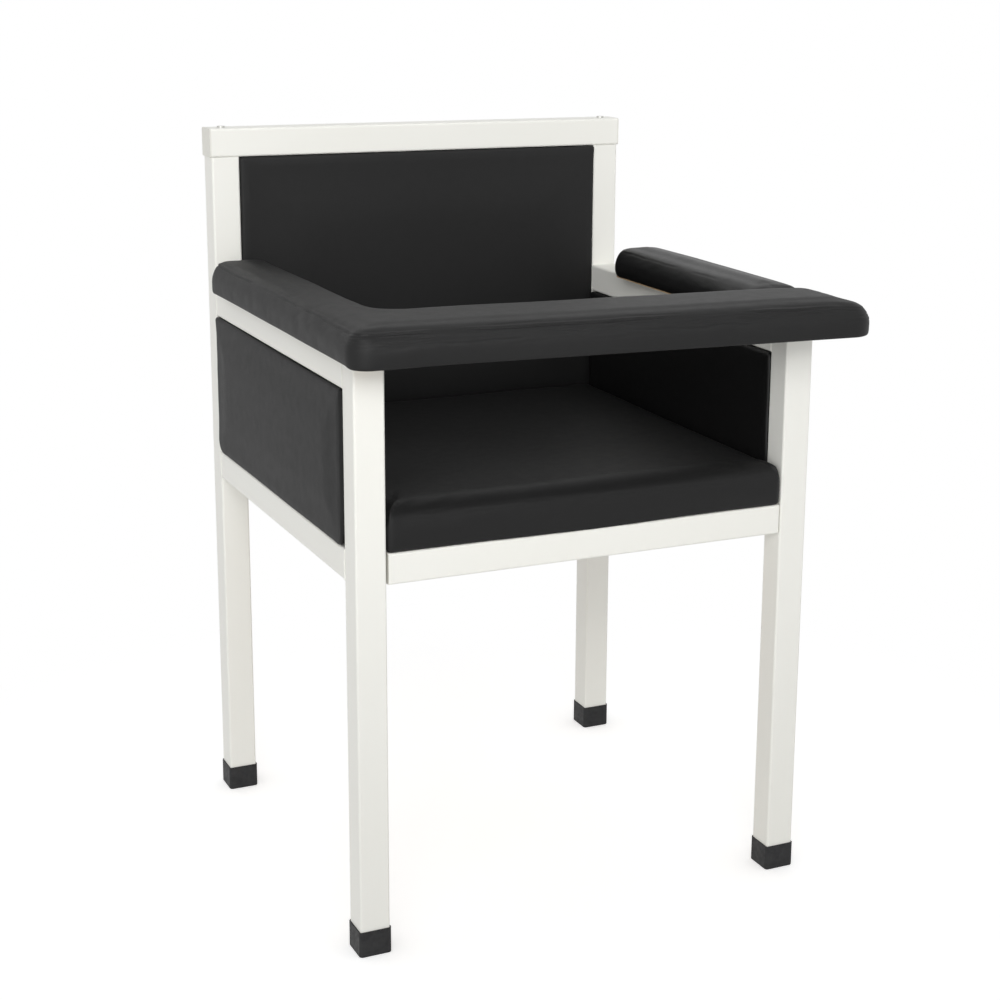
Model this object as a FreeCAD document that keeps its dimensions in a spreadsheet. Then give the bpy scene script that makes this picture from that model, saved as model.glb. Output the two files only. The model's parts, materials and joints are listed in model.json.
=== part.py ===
import FreeCAD, Part

import math
import os
import re

import Sketcher

# Phlebotomy chair: a welded and bolted square tube frame, upholstered seat, back and side panels, a fixed
# right arm pad, and an L-shaped left arm with a front bar that swings up and over on a long hinge.
# Left and right are as seen from the front. The sitter faces -Y and +Z is up. The origin lies on the floor,
# at the middle of the whole chair's footprint, arm bar included.

doc = FreeCAD.newDocument("phlebotomy_chair")
dims = doc.addObject("Spreadsheet::Sheet", "dims")

SIZES = [
    # Frame
    ("frame_width", 609.6, "outer width over the legs"),
    ("frame_depth", 582, "outer depth over the legs"),
    ("chair_height", 948, "floor to the top of the top rail"),
    ("arm_height", 733.5, "floor to the top of the arm rails"),
    ("seat_height", 505, "floor to the top of the seat frame"),
    ("tube", 38.1, "side of the square tube"),
    ("tube_wall", 1.6, "tube wall"),
    ("tube_corner", 3, "outer corner radius of the tube"),
    ("seat_gap", 2.5, "gap between the seat frame and the side frames"),
    # Feet and plugs
    ("cap_height", 33, "height of a foot cap"),
    ("cap_wall", 1.5, "wall of a foot cap"),
    ("cap_base", 5, "rubber under the tube"),
    ("cap_edge", 1.2, "rounding of a foot cap's lower edge"),
    ("plug_depth", 12, "depth of a plug inside a tube"),
    ("insert_depth", 16, "depth of a threaded insert in an upright"),
    ("end_cap_head", 2, "thickness of the top rail's end cap"),
    ("fit", 0.1, "clearance around plugs, caps and screws"),
    # Screws of the top rail
    ("top_screw_radius", 3, "shank of a top rail screw"),
    ("top_screw_head_radius", 5.2, "head of a top rail screw"),
    ("top_screw_head_height", 2.2, "head height of a top rail screw"),
    # Bolts of the seat frame
    ("bolt_radius", 4, "shank of a seat frame bolt"),
    ("bolt_head_radius", 6.5, "head of a seat frame bolt"),
    ("bolt_head_height", 5, "head height of a seat frame bolt"),
    ("side_fixing_spacing", 340, "distance between the two bolts of a side"),
    ("rivet_radius", 5.5, "body of a rivet nut"),
    ("rivet_flange_radius", 7.5, "flange of a rivet nut"),
    ("rivet_flange", 0.8, "flange thickness of a rivet nut"),
    ("rivet_length", 12, "body length of a rivet nut"),
    ("spacer_radius", 10, "outer radius of a spacer washer"),
    # Boards and their screws
    ("board", 12, "thickness of every plywood board"),
    ("board_margin", 7, "how far a pad stands out past its board"),
    ("board_corner", 12, "corner radius of a rectangular board"),
    ("soft_gap", 0.3, "clearance of a soft pad from what it covers"),
    ("screw_radius", 2.5, "shank of a board screw"),
    ("screw_head_radius", 4.8, "head of a board screw"),
    ("screw_head_height", 1.8, "head height of a board screw"),
    ("screw_grip", 9, "how deep a board screw goes into its board"),
    # Seat
    ("seat_pad", 54, "height of the seat cushion at its shoulder"),
    ("seat_roll", 13, "width of the seat cushion's rounded shoulder"),
    ("seat_crown", 5, "rise of the seat cushion to its middle"),
    ("seat_crown_share", 0.23, "the seat cushion's rising border as a share of its width"),
    ("seat_corner", 6, "corner radius of the seat cushion"),
    ("seat_overhang", 2, "seat cushion ahead of the frame"),
    ("seat_back_gap", 1.5, "gap between seat cushion and back pad"),
    ("seat_screw_spacing", 240, "distance between seat screws along a rail"),
    # Panels
    ("panel_gap", 1, "gap between a panel and the tubes beside it"),
    ("panel_top_gap", 2.2, "gap between a panel and the tube over it"),
    ("panel_proud", 2, "how far a panel's shoulder stands out of the frame"),
    ("panel_roll", 7, "width of a panel's rounded shoulder"),
    ("panel_top_corner", 5, "radius of a side panel's upper corners"),
    ("panel_low_corner", 20, "radius of a side panel's lower corners"),
    ("panel_lift", 1.5, "gap under the back panel"),
    ("side_lift", 2, "gap under a side panel"),
    ("back_corner", 4, "corner radius of the back panel"),
    ("back_crown", 4, "rise of the back's front pad"),
    ("outer_crown", 3, "rise of the pads that face outwards"),
    ("inner_crown", 1, "rise of the side pads that face the seat"),
    ("panel_crown_share", 0.32, "a panel pad's rising border as a share of its shorter side"),
    ("panel_pin_radius", 3, "locating pin at a panel's top edge"),
    ("panel_fixing_spacing", 300, "distance between a panel's two fixings"),
    # Arms
    ("arm_pad", 39.5, "height of the flip arm's pad at its shoulder"),
    ("right_arm_pad", 41, "height of the right arm pad at its shoulder"),
    ("arm_roll", 13, "width of an arm pad's rounded shoulder"),
    ("arm_crown", 3, "rise of an arm pad to its middle"),
    ("arm_crown_share", 0.31, "an arm pad's rising border as a share of its width"),
    ("arm_pad_width", 84.5, "width of an arm pad"),
    ("arm_overhang", 21.5, "arm pad past the outer face of its rail"),
    ("arm_rear_gap", 37, "flip arm pad to its upright"),
    ("right_arm_rear_gap", 93, "right arm pad to its upright"),
    ("right_arm_screw_spacing", 160, "distance between right arm screws"),
    ("arm_corner", 26, "corner radius of the pads' outer corners"),
    ("arm_square_corner", 12, "corner radius of the right pad behind the bar"),
    ("bar_width", 146, "front to back size of the bar's pad"),
    ("bar_overhang", 59, "bar pad ahead of the frame at its left corner"),
    ("bar_skew", 46, "how much further forward the bar's right end is"),
    ("bar_end_overhang", 26, "bar pad past the frame's right side"),
    ("bar_end_corner", 30, "corner radius of the bar's free end in front"),
    ("bar_rear_corner", 48, "corner radius of the bar's free end behind"),
    ("inner_corner", 42, "corner radius inside the L"),
    ("pad_gap", 8, "gap between the bar and the right arm pad"),
    ("cover", 0.5, "thickness of the cloth under the flip arm"),
    # Hinge of the flip arm
    ("hinge_length", 480, "length of the hinge"),
    ("hinge_start", 6, "hinge behind the frame's front face"),
    ("hinge_outset", 2.2, "hinge axis outside the rail's face"),
    ("leaf", 0.8, "thickness of a hinge leaf"),
    ("leaf_width", 28, "width of a hinge leaf on its rail"),
    ("knuckle_radius", 1.6, "outer radius of the hinge knuckles"),
    ("knuckle_gap", 0.4, "end gap between two knuckles"),
    ("knuckle_play", 0.2, "gap between a knuckle and what passes over it"),
    ("knuckle_pairs", 8, "knuckles on each leaf"),
    ("pin_radius", 0.8, "radius of the hinge pin"),
    ("pin_play", 0.05, "radial play of the hinge pin"),
    ("hinge_screw_radius", 2, "shank of a hinge screw"),
    ("hinge_screw_head_radius", 3.6, "head of a hinge screw"),
    ("hinge_screw_head_height", 1.2, "head height of a hinge screw"),
    ("hinge_screw_length", 9, "length of a hinge screw under its head"),
    ("hinge_screw_pitches", 5, "screw pitches in the hinge's length"),
    # Bumper under the bar
    ("bumper_radius", 10, "radius of the rest bumper"),
    ("bumper_stem_radius", 2.5, "stem of the rest bumper"),
    ("bumper_stem", 7, "length of the bumper's stem"),
    ("bumper_gap", 0.3, "gap over the bumper at rest"),
]

# Sizes worked out from the sheet, each a formula of the names above.
FORMULAS = {
    "half_width": "frame_width / 2",
    "half_depth": "frame_depth / 2",
    "bore": "tube - 2 * tube_wall",
    "plug": "tube - 2 * tube_wall - 2 * fit",
    "inner_face": "half_width - tube",
    "rail_middle": "half_width - tube / 2",
    "panel_depth": "frame_depth - 2 * tube - 2 * panel_gap",
    "side_bottom": "seat_height + side_lift",
    "side_top": "arm_height - tube - panel_top_gap",
    "back_bottom": "seat_height + panel_lift",
    "back_top": "chair_height - tube - panel_top_gap",
    "back_width": "frame_width - 2 * tube - 2 * panel_gap",
    "seat_half": "inner_face - panel_proud - inner_crown - soft_gap",
    "seat_front": "-half_depth - seat_overhang",
    "seat_rear": "half_depth - tube - panel_proud - back_crown - seat_back_gap",
    "seat_rail_side": "inner_face - seat_gap",
    "arm_base": "arm_height + 2 * (knuckle_radius + knuckle_play)",
    "hinge_z": "arm_height + knuckle_radius + knuckle_play",
    "hinge_x": "-half_width - hinge_outset",
    "arm_left": "-half_width - arm_overhang",
    "arm_right": "-half_width - arm_overhang + arm_pad_width",
    "arm_rear": "half_depth - tube - arm_rear_gap",
    "bar_end": "half_width + bar_end_overhang",
    "bar_slope": "bar_skew / (bar_end - arm_left)",
    "bar_slant": "sqrt(1 + bar_slope * bar_slope)",
    "bar_front": "-half_depth - bar_overhang",
    "bar_rear": "-half_depth - bar_overhang + bar_width",
    "right_pad_outer": "half_width + arm_overhang",
    "right_pad_inner": "half_width + arm_overhang - arm_pad_width",
    "right_pad_front": "bar_rear - bar_slope * (right_pad_inner - arm_left) + pad_gap",
    "right_pad_rear": "half_depth - tube - right_arm_rear_gap",
    "right_screw_middle": "(right_pad_front + right_pad_rear) / 2",
    "leaf_inner": "-half_width + leaf_width",
    "knuckle_pitch": "hinge_length / knuckle_pairs / 2",
    "hinge_front": "-half_depth + hinge_start",
    "seat_crown_run": "2 * seat_half * seat_crown_share",
    "arm_crown_run": "arm_pad_width * arm_crown_share",
    "hinge_middle": "-half_depth + hinge_start + hinge_length / 2",
    "hinge_screw_step": "hinge_length / hinge_screw_pitches / 2",
    "front_reach": "half_depth + bar_overhang + bar_skew",
    "rear_reach": "half_depth + outer_crown + panel_proud",
    "mid_x": "(arm_overhang - bar_end_overhang) / 2",
    "mid_y": "(front_reach - rear_reach) / 2",
}

# A soft pad's side from its lower edge to its shoulder: shares of its height, and of the shoulder's width.
SIDE_HEIGHT_SHARES = (0, 0.16, 0.38, 0.66, 0.87, 1)
SIDE_INSET_SHARES = (0.26, 0.05, 0, 0.12, 0.42, 1)
# The top from the shoulder to the flat middle: shares of the crown's rise, and of its width.
CROWN_RISE_SHARES = (0.6, 1)
CROWN_RUN_SHARES = (0.35, 1)
LEAST_CORNER_SHARE = 0.15


def fill_sheet():
    for row, (alias, number, note) in enumerate(SIZES, start=1):
        dims.set("A%d" % row, alias.replace("_", " "))
        dims.set("B%d" % row, str(number))
        dims.setAlias("B%d" % row, alias)
        dims.set("C%d" % row, note)
    doc.recompute()


def formula(text):
    """An expression in the names above, written out in the sheet's own aliases."""
    aliases = [alias for alias, number, note in SIZES]

    def written(match):
        word = match.group(0)
        if word in aliases:
            return "dims." + word
        if word in FORMULAS:
            return "(" + formula(FORMULAS[word]) + ")"
        return word

    return re.sub(r"[a-z_]+", written, text)


def size(text):
    """The number that an expression has now."""
    return float(dims.evalExpression(formula(text)))


def bind(item, name, text):
    item.setExpression(name, formula(text))


def seat_at(item, place):
    """Places an item inside its sub-part."""
    for letter, text in zip("xyz", place):
        bind(item, ".Placement.Base." + letter, text)


def stand_at(item, place):
    """Places a sub-part on the chair, whose middle lies off the origin."""
    x, y, z = place
    seat_at(item, ("mid_x + (%s)" % x, "mid_y + (%s)" % y, z))


TURNS = {
    "+z": FreeCAD.Rotation(),
    "-z": FreeCAD.Rotation(FreeCAD.Vector(1, 0, 0), 180),
    "+x": FreeCAD.Rotation(FreeCAD.Vector(0, 1, 0), 90),
    "-x": FreeCAD.Rotation(FreeCAD.Vector(0, 1, 0), -90),
    "+y": FreeCAD.Rotation(FreeCAD.Vector(1, 0, 0), -90),
    "-y": FreeCAD.Rotation(FreeCAD.Vector(1, 0, 0), 90),
}


# Bodies and their features

def new_body(label):
    body = doc.addObject("PartDesign::Body", label)
    body.Label = label
    parts.append(body)
    return body


def block(body, kind, name, lengths, corner=("0", "0", "0")):
    """A box feature, kind Additive or Subtractive, from its lowest corner."""
    feature = body.newObject("PartDesign::%sBox" % kind, body.Label + "_" + name)
    for prop, text in zip(("Length", "Width", "Height"), lengths):
        bind(feature, prop, text)
    seat_at(feature, corner)
    return feature


def drum(body, kind, name, radius, height, centre, direction="+z"):
    """A cylinder feature from the middle of its first end."""
    feature = body.newObject("PartDesign::%sCylinder" % kind, body.Label + "_" + name)
    bind(feature, "Radius", radius)
    bind(feature, "Height", height)
    feature.Placement = FreeCAD.Placement(FreeCAD.Vector(), TURNS[direction])
    seat_at(feature, centre)
    return feature


def edge_names(shape, wanted):
    return ["Edge%d" % (i + 1) for i, edge in enumerate(shape.Edges) if wanted(edge)]


def runs_along(axis):
    """True for straight edges along a direction."""
    direction = FreeCAD.Vector(axis == "x", axis == "y", axis == "z")

    def wanted(edge):
        if edge.Curve.TypeId != "Part::GeomLine":
            return False
        return abs(edge.tangentAt(edge.FirstParameter).dot(direction)) > 1 - Part.Precision.angular()

    return wanted


def round_off(body, name, radius, wanted):
    doc.recompute()
    base = body.Tip
    feature = body.newObject("PartDesign::Fillet", body.Label + "_" + name)
    feature.Base = (base, edge_names(base.Shape, wanted))
    bind(feature, "Radius", radius)
    return feature


def square_tube(label, axis, length, corner, holes=()):
    """A square tube with rounded outer edges; holes are (name, radius, depth, centre, direction)."""
    body = new_body(label)
    outer = ["tube", "tube", "tube"]
    bore = ["bore", "bore", "bore"]
    start = ["tube_wall", "tube_wall", "tube_wall"]
    along = "xyz".index(axis)
    outer[along] = length
    bore[along] = length
    start[along] = "0"
    block(body, "Additive", "outer", outer)
    round_off(body, "edges", "tube_corner", runs_along(axis))
    block(body, "Subtractive", "bore", bore, start)
    for name, radius, depth, centre, direction in holes:
        drum(body, "Subtractive", name, radius, depth, centre, direction)
    stand_at(body, corner)
    return body


# Loose shapes made of primitives

def cylinder(name, radius, height, centre, direction):
    item = doc.addObject("Part::Cylinder", name)
    bind(item, "Radius", radius)
    bind(item, "Height", height)
    item.Placement = FreeCAD.Placement(FreeCAD.Vector(), TURNS[direction])
    stand_at(item, centre)
    return item


def joined(name, pieces):
    item = doc.addObject("Part::MultiFuse", name)
    item.Shapes = pieces
    return item


def less(name, base, tool):
    item = doc.addObject("Part::Cut", name)
    item.Base = base
    item.Tool = tool
    return item


def group(label, pieces):
    """Identical small pieces that share one sub-part."""
    item = doc.addObject("Part::Compound", label)
    item.Label = label
    item.Links = pieces
    parts.append(item)
    return item


OPPOSITE = {"+x": "-x", "-x": "+x", "+y": "-y", "-y": "+y", "+z": "-z", "-z": "+z"}


def screw(name, kind, length, centre, out):
    """A screw whose head's underside is at centre and whose head points out; kind names its sizes."""
    head = cylinder(name + "_head", kind + "_head_radius", kind + "_head_height", centre, out)
    shank = cylinder(name + "_shank", kind + "_radius", length, centre, OPPOSITE[out])
    return joined(name, [head, shank])


# Outlines of boards and soft pads

def moved_in(corners, inset):
    """A counter-clockwise outline with every side moved inwards by the inset."""
    result = []
    for i, corner in enumerate(corners):
        before = (corner - corners[i - 1]).normalize()
        after = (corners[(i + 1) % len(corners)] - corner).normalize()
        normal_before = FreeCAD.Vector(-before.y, before.x, 0)
        normal_after = FreeCAD.Vector(-after.y, after.x, 0)
        bisector = normal_before + normal_after
        result.append(corner + bisector * (inset / (1 + normal_before.dot(normal_after))))
    return result


def rounded_wire(corners, radii, inset, height):
    """The outline moved in, with an arc at each corner, at one height."""
    ring = moved_in(corners, inset)
    bends = []
    for i, corner in enumerate(ring):
        before = (ring[i - 1] - corner).normalize()
        after = (ring[(i + 1) % len(ring)] - corner).normalize()
        hollow = before.cross(after).z > 0
        radius = radii[i] + inset if hollow else max(radii[i] - inset, LEAST_CORNER_SHARE * radii[i])
        half_angle = before.getAngle(after) / 2
        run = radius / math.tan(half_angle)
        to_centre = (before + after).normalize()
        middle = corner + to_centre * (radius / math.sin(half_angle) - radius)
        bends.append((corner + before * run, middle, corner + after * run))
    lift = FreeCAD.Vector(0, 0, height)
    edges = []
    for i, (start, middle, end) in enumerate(bends):
        edges.append(Part.LineSegment(bends[i - 1][2] + lift, start + lift).toShape())
        edges.append(Part.Arc(start + lift, middle + lift, end + lift).toShape())
    return Part.Wire(edges)


def rectangle(low_x, low_y, high_x, high_y):
    return [
        FreeCAD.Vector(low_x, low_y, 0),
        FreeCAD.Vector(high_x, low_y, 0),
        FreeCAD.Vector(high_x, high_y, 0),
        FreeCAD.Vector(low_x, high_y, 0),
    ]


def prism(corners, radii, inset, low, high):
    face = Part.Face(rounded_wire(corners, radii, inset, low))
    return face.extrude(FreeCAD.Vector(0, 0, high - low))


def soft_form(corners, radii, low, shoulder, roll, crown, crown_run):
    """A crowned pad with drawn-in sides, lofted through its outline at several heights."""
    wires = []
    for height_share, inset_share in zip(SIDE_HEIGHT_SHARES, SIDE_INSET_SHARES):
        wires.append(rounded_wire(corners, radii, roll * inset_share, low + (shoulder - low) * height_share))
    for rise_share, run_share in zip(CROWN_RISE_SHARES, CROWN_RUN_SHARES):
        inset = roll + (crown_run - roll) * run_share
        wires.append(rounded_wire(corners, radii, inset, shoulder + crown * rise_share))
    return Part.makeLoft(wires, True, True)


def soft_part(label, shape, place, turn=None):
    item = doc.addObject("Part::Feature", label)
    item.Label = label
    item.Shape = shape
    item.Placement = FreeCAD.Placement(FreeCAD.Vector(), turn or FreeCAD.Rotation())
    stand_at(item, place)
    parts.append(item)
    return item


def plywood(label, lengths, corner, thin_axis, holes, rounding="board_corner"):
    """A rectangular board with rounded corners and pilot holes."""
    body = new_body(label)
    block(body, "Additive", "sheet", lengths)
    round_off(body, "corners", rounding, runs_along(thin_axis))
    for name, radius, depth, centre, direction in holes:
        drum(body, "Subtractive", name, radius, depth, centre, direction)
    stand_at(body, corner)
    return body


SIDES = {"left": -1, "right": 1}


def mirrored_x(side, width_text, from_outer="half_width"):
    """The low x of a piece whose outer face is at from_outer on that side."""
    return "-(%s)" % from_outer if side == "left" else "(%s) - (%s)" % (from_outer, width_text)


def signed(side, text):
    return "-(%s)" % text if side == "left" else text


# Steel frame

def make_legs():
    for side in SIDES:
        x = mirrored_x(side, "tube")
        square_tube(side + "_front_leg", "z", "arm_height - cap_base", (x, "-half_depth", "cap_base"))
        corner = (x, "half_depth - tube", "cap_base")
        square_tube(side + "_rear_upright", "z", "chair_height - tube - cap_base", corner)


# Hinge screws lie about the hinge's middle: those of the arm leaf fall between those of the rail leaf.
RAIL_SCREW_STEPS = (-4, -2, 0, 2, 4)
ARM_SCREW_STEPS = (-3, -1, 1, 3)


def hinge_screw_places(steps):
    return ["hinge_middle + %d * hinge_screw_step" % step for step in steps]


def fixing_places(middle):
    """The two places along a panel where it is pinned and screwed."""
    return ["%s - panel_fixing_spacing / 2" % middle, "%s + panel_fixing_spacing / 2" % middle]


def make_arm_rails():
    length = "frame_depth - 2 * tube"
    for side in SIDES:
        holes = []
        if side == "left":
            for i, place in enumerate(hinge_screw_places(RAIL_SCREW_STEPS)):
                spot = ("tube / 2", place + " + half_depth - tube", "tube")
                holes.append(("hinge_hole_%d" % i, "hinge_screw_radius + fit", "2 * tube_wall", spot, "-z"))
        else:
            for i, sign in enumerate("-+"):
                y = "right_screw_middle %s right_arm_screw_spacing / 2 + half_depth - tube" % sign
                holes.append(("arm_hole_%d" % i, "screw_radius + fit", "tube", ("tube / 2", y, "0"), "+z"))
        corner = (mirrored_x(side, "tube"), "-half_depth + tube", "arm_height - tube")
        square_tube(side + "_arm_rail", "y", length, corner, holes)


def make_lower_rails():
    length = "frame_depth - 2 * tube"
    for side in SIDES:
        holes = []
        for i, y in enumerate(fixing_places("half_depth - tube")):
            holes.append(("panel_hole_%d" % i, "screw_radius + fit", "tube", ("tube / 2", y, "0"), "+z"))
        wall = "tube + fit" if side == "left" else "-fit"
        inwards = "-x" if side == "left" else "+x"
        for i, sign in enumerate("-+"):
            y = "half_depth - tube %s side_fixing_spacing / 2" % sign
            centre = (wall, y, "tube / 2")
            holes.append(("rivet_hole_%d" % i, "rivet_radius + fit", "2 * tube_wall", centre, inwards))
        corner = (mirrored_x(side, "tube"), "-half_depth + tube", "seat_height - tube")
        square_tube(side + "_lower_rail", "y", length, corner, holes)


def make_top_rail():
    holes = []
    for side in SIDES:
        x = "half_width + " + signed(side, "rail_middle")
        hole = ("screw_hole_" + side, "top_screw_radius + fit", "tube", (x, "tube / 2", "0"), "+z")
        holes.append(hole)
    corner = ("-half_width", "half_depth - tube", "chair_height - tube")
    square_tube("top_rail", "x", "frame_width", corner, holes)


def make_seat_frame():
    across = "2 * seat_rail_side"
    low = "seat_height - tube"
    square_tube("seat_front_rail", "x", across, ("-seat_rail_side", "-half_depth", low))
    holes = []
    for i, x in enumerate(fixing_places("seat_rail_side")):
        holes.append(("panel_hole_%d" % i, "screw_radius + fit", "tube", (x, "tube / 2", "0"), "+z"))
    square_tube("seat_rear_rail", "x", across, ("-seat_rail_side", "half_depth - tube", low), holes)
    for side in SIDES:
        holes = []
        for i, sign in enumerate("-+"):
            bolt_y = "half_depth - tube %s side_fixing_spacing / 2" % sign
            screw_y = "half_depth - tube %s seat_screw_spacing / 2" % sign
            holes.append(("bolt_hole_%d" % i, "bolt_radius + fit", "tube", ("0", bolt_y, "tube / 2"), "+x"))
            holes.append(("seat_hole_%d" % i, "screw_radius + fit", "tube", ("tube / 2", screw_y, "0"), "+z"))
        corner = (mirrored_x(side, "tube", "seat_rail_side"), "-half_depth + tube", low)
        square_tube("seat_%s_rail" % side, "y", "frame_depth - 2 * tube", corner, holes)


# Plugs, caps and feet

def lies_on_floor(edge):
    return edge.BoundBox.ZMax < Part.Precision.confusion()


def make_foot_caps():
    outer = "tube + 2 * cap_wall + 2 * fit"
    pocket = "tube + 2 * fit"
    for side in SIDES:
        for end, y in (("front", "-half_depth"), ("rear", "half_depth - tube")):
            body = new_body("foot_cap_%s_%s" % (end, side))
            block(body, "Additive", "outer", (outer, outer, "cap_height"))
            round_off(body, "edges", "tube_corner + cap_wall", runs_along("z"))
            round_off(body, "lower_edge", "cap_edge", lies_on_floor)
            lengths = (pocket, pocket, "cap_height - cap_base")
            block(body, "Subtractive", "pocket", lengths, ("cap_wall", "cap_wall", "cap_base"))
            corner = (mirrored_x(side, "tube") + " - cap_wall - fit", y + " - cap_wall - fit", "0")
            stand_at(body, corner)


def make_leg_plugs():
    """Plugs that close the front legs; the right one carries the rest bumper."""
    for side in SIDES:
        body = new_body(side + "_leg_plug")
        block(body, "Additive", "plug", ("plug", "plug", "plug_depth"))
        if side == "right":
            drum(
                body, "Subtractive", "bumper_hole", "bumper_stem_radius + fit", "bumper_stem + fit",
                ("plug / 2", "plug / 2", "plug_depth"), "-z",
            )
        x = mirrored_x(side, "tube") + " + tube_wall + fit"
        stand_at(body, (x, "-half_depth + tube_wall + fit", "arm_height - plug_depth"))


def make_upright_inserts():
    for side in SIDES:
        body = new_body(side + "_upright_insert")
        block(body, "Additive", "plug", ("plug", "plug", "insert_depth"))
        centre = ("plug / 2", "plug / 2", "0")
        drum(body, "Subtractive", "thread", "top_screw_radius + fit", "insert_depth", centre)
        x = mirrored_x(side, "tube") + " + tube_wall + fit"
        y = "half_depth - tube + tube_wall + fit"
        stand_at(body, (x, y, "chair_height - tube - insert_depth"))


def make_top_rail_caps():
    """Caps in the open ends of the top rail, with a head as wide as the tube."""
    for side in SIDES:
        body = new_body("top_rail_cap_" + side)
        block(body, "Additive", "head", ("end_cap_head", "tube", "tube"))
        round_off(body, "edges", "tube_corner", runs_along("x"))
        start = "end_cap_head" if side == "left" else "-plug_depth"
        inner = (start, "tube_wall + fit", "tube_wall + fit")
        block(body, "Additive", "plug", ("plug_depth", "plug", "plug"), inner)
        x = "-half_width - end_cap_head" if side == "left" else "half_width"
        stand_at(body, (x, "half_depth - tube", "chair_height - tube"))


def make_seat_rail_plugs():
    pieces = []
    for side in SIDES:
        for end, y in (("front", "-half_depth"), ("rear", "half_depth - tube")):
            plug = doc.addObject("Part::Box", "seat_rail_plug_%s_%s" % (end, side))
            for prop, text in (("Length", "plug_depth"), ("Width", "plug"), ("Height", "plug")):
                bind(plug, prop, text)
            x = mirrored_x(side, "plug_depth", "seat_rail_side")
            stand_at(plug, (x, y + " + tube_wall + fit", "seat_height - tube + tube_wall + fit"))
            pieces.append(plug)
    group("seat_rail_plugs", pieces)


# Fasteners

def make_top_screws():
    pieces = []
    for side in SIDES:
        centre = (signed(side, "rail_middle"), "half_depth - tube / 2", "chair_height")
        pieces.append(screw("top_rail_screw_" + side, "top_screw", "tube + plug_depth", centre, "+z"))
    group("top_rail_screws", pieces)


def make_seat_bolts():
    """Bolts through the seat frame into rivet nuts in the side frames, with a spacer washer on each."""
    bolts = []
    nuts = []
    spacers = []
    for side in SIDES:
        outwards, inwards = ("-x", "+x") if side == "left" else ("+x", "-x")
        for i, sign in enumerate("-+"):
            name = "%s_%d" % (side, i)
            y = sign + "side_fixing_spacing / 2"
            z = "seat_height - tube / 2"
            head_seat = (signed(side, "seat_rail_side - tube"), y, z)
            length = "tube + seat_gap + rivet_length"
            bolts.append(screw("seat_bolt_" + name, "bolt", length, head_seat, inwards))
            wall = (signed(side, "inner_face"), y, z)
            flange = cylinder("rivet_flange_" + name, "rivet_flange_radius", "rivet_flange", wall, inwards)
            shank = cylinder("rivet_body_" + name, "rivet_radius", "rivet_length", wall, outwards)
            start = (signed(side, "inner_face - rivet_flange"), y, z)
            bore = cylinder(
                "rivet_bore_" + name, "bolt_radius + fit", "rivet_flange + rivet_length", start, outwards
            )
            nuts.append(less("rivet_nut_" + name, joined("rivet_" + name, [flange, shank]), bore))
            face = (signed(side, "seat_rail_side"), y, z)
            thickness = "seat_gap - rivet_flange"
            disc = cylinder("spacer_disc_" + name, "spacer_radius", thickness, face, outwards)
            hole = cylinder("spacer_hole_" + name, "bolt_radius + fit", thickness, face, outwards)
            spacers.append(less("spacer_" + name, disc, hole))
    group("seat_frame_bolts", bolts)
    group("seat_frame_rivet_nuts", nuts)
    group("seat_frame_spacers", spacers)


def make_seat_screws():
    pieces = []
    for side in SIDES:
        for i, sign in enumerate("-+"):
            x = signed(side, "seat_rail_side - tube / 2")
            centre = (x, sign + "seat_screw_spacing / 2", "seat_height - tube")
            pieces.append(screw("seat_screw_%s_%d" % (side, i), "screw", "tube + screw_grip", centre, "-z"))
    group("seat_screws", pieces)


def make_panel_fixings():
    """Screws from below into each panel's board, and pins from above."""
    pins = []
    pin = "panel_top_gap + board_margin + screw_grip"
    back_y = "half_depth - tube / 2"
    screws = []
    for i, x in enumerate(fixing_places("0")):
        length = "tube + panel_lift + board_margin + screw_grip"
        screws.append(screw("back_screw_%d" % i, "screw", length, (x, back_y, "seat_height - tube"), "-z"))
        top = (x, back_y, "chair_height - tube")
        pins.append(cylinder("back_pin_%d" % i, "panel_pin_radius", pin, top, "-z"))
    group("back_panel_screws", screws)
    for side in SIDES:
        screws = []
        x = signed(side, "rail_middle")
        for i, y in enumerate(fixing_places("0")):
            length = "tube + side_lift + board_margin + screw_grip"
            name = "%s_side_screw_%d" % (side, i)
            screws.append(screw(name, "screw", length, (x, y, "seat_height - tube"), "-z"))
            name = "%s_side_pin_%d" % (side, i)
            pins.append(cylinder(name, "panel_pin_radius", pin, (x, y, "arm_height - tube"), "-z"))
        group(side + "_panel_screws", screws)
    group("panel_pins", pins)


# Seat

def make_seat():
    depth = "seat_rear - seat_front"
    holes = []
    for side in SIDES:
        for i, sign in enumerate("-+"):
            x = "seat_half - board_margin + " + signed(side, "seat_rail_side - tube / 2")
            spot = (x, "%sseat_screw_spacing / 2 - seat_front - board_margin" % sign, "0")
            holes.append(("pilot_%s_%d" % (side, i), "screw_radius + fit", "screw_grip + fit", spot, "+z"))
    lengths = ("2 * seat_half - 2 * board_margin", depth + " - 2 * board_margin", "board")
    corner = ("-seat_half + board_margin", "seat_front + board_margin", "seat_height")
    plywood("seat_board", lengths, corner, "z", holes)

    outline = rectangle(-size("seat_half"), size("seat_front"), size("seat_half"), size("seat_rear"))
    radii = [size("seat_corner")] * len(outline)
    low = size("soft_gap")
    form = soft_form(
        outline, radii, low, size("seat_pad"), size("seat_roll"), size("seat_crown"), size("seat_crown_run")
    )
    board_corners = [size("board_corner + board_margin")] * len(outline)
    pocket = prism(outline, board_corners, size("board_margin - soft_gap"), 0, size("board + soft_gap"))
    soft_part("seat_cushion", form.cut(pocket), ("0", "0", "seat_height"))


# Back and side panels: a board in the tube's middle plane with a pad on each face

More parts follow.
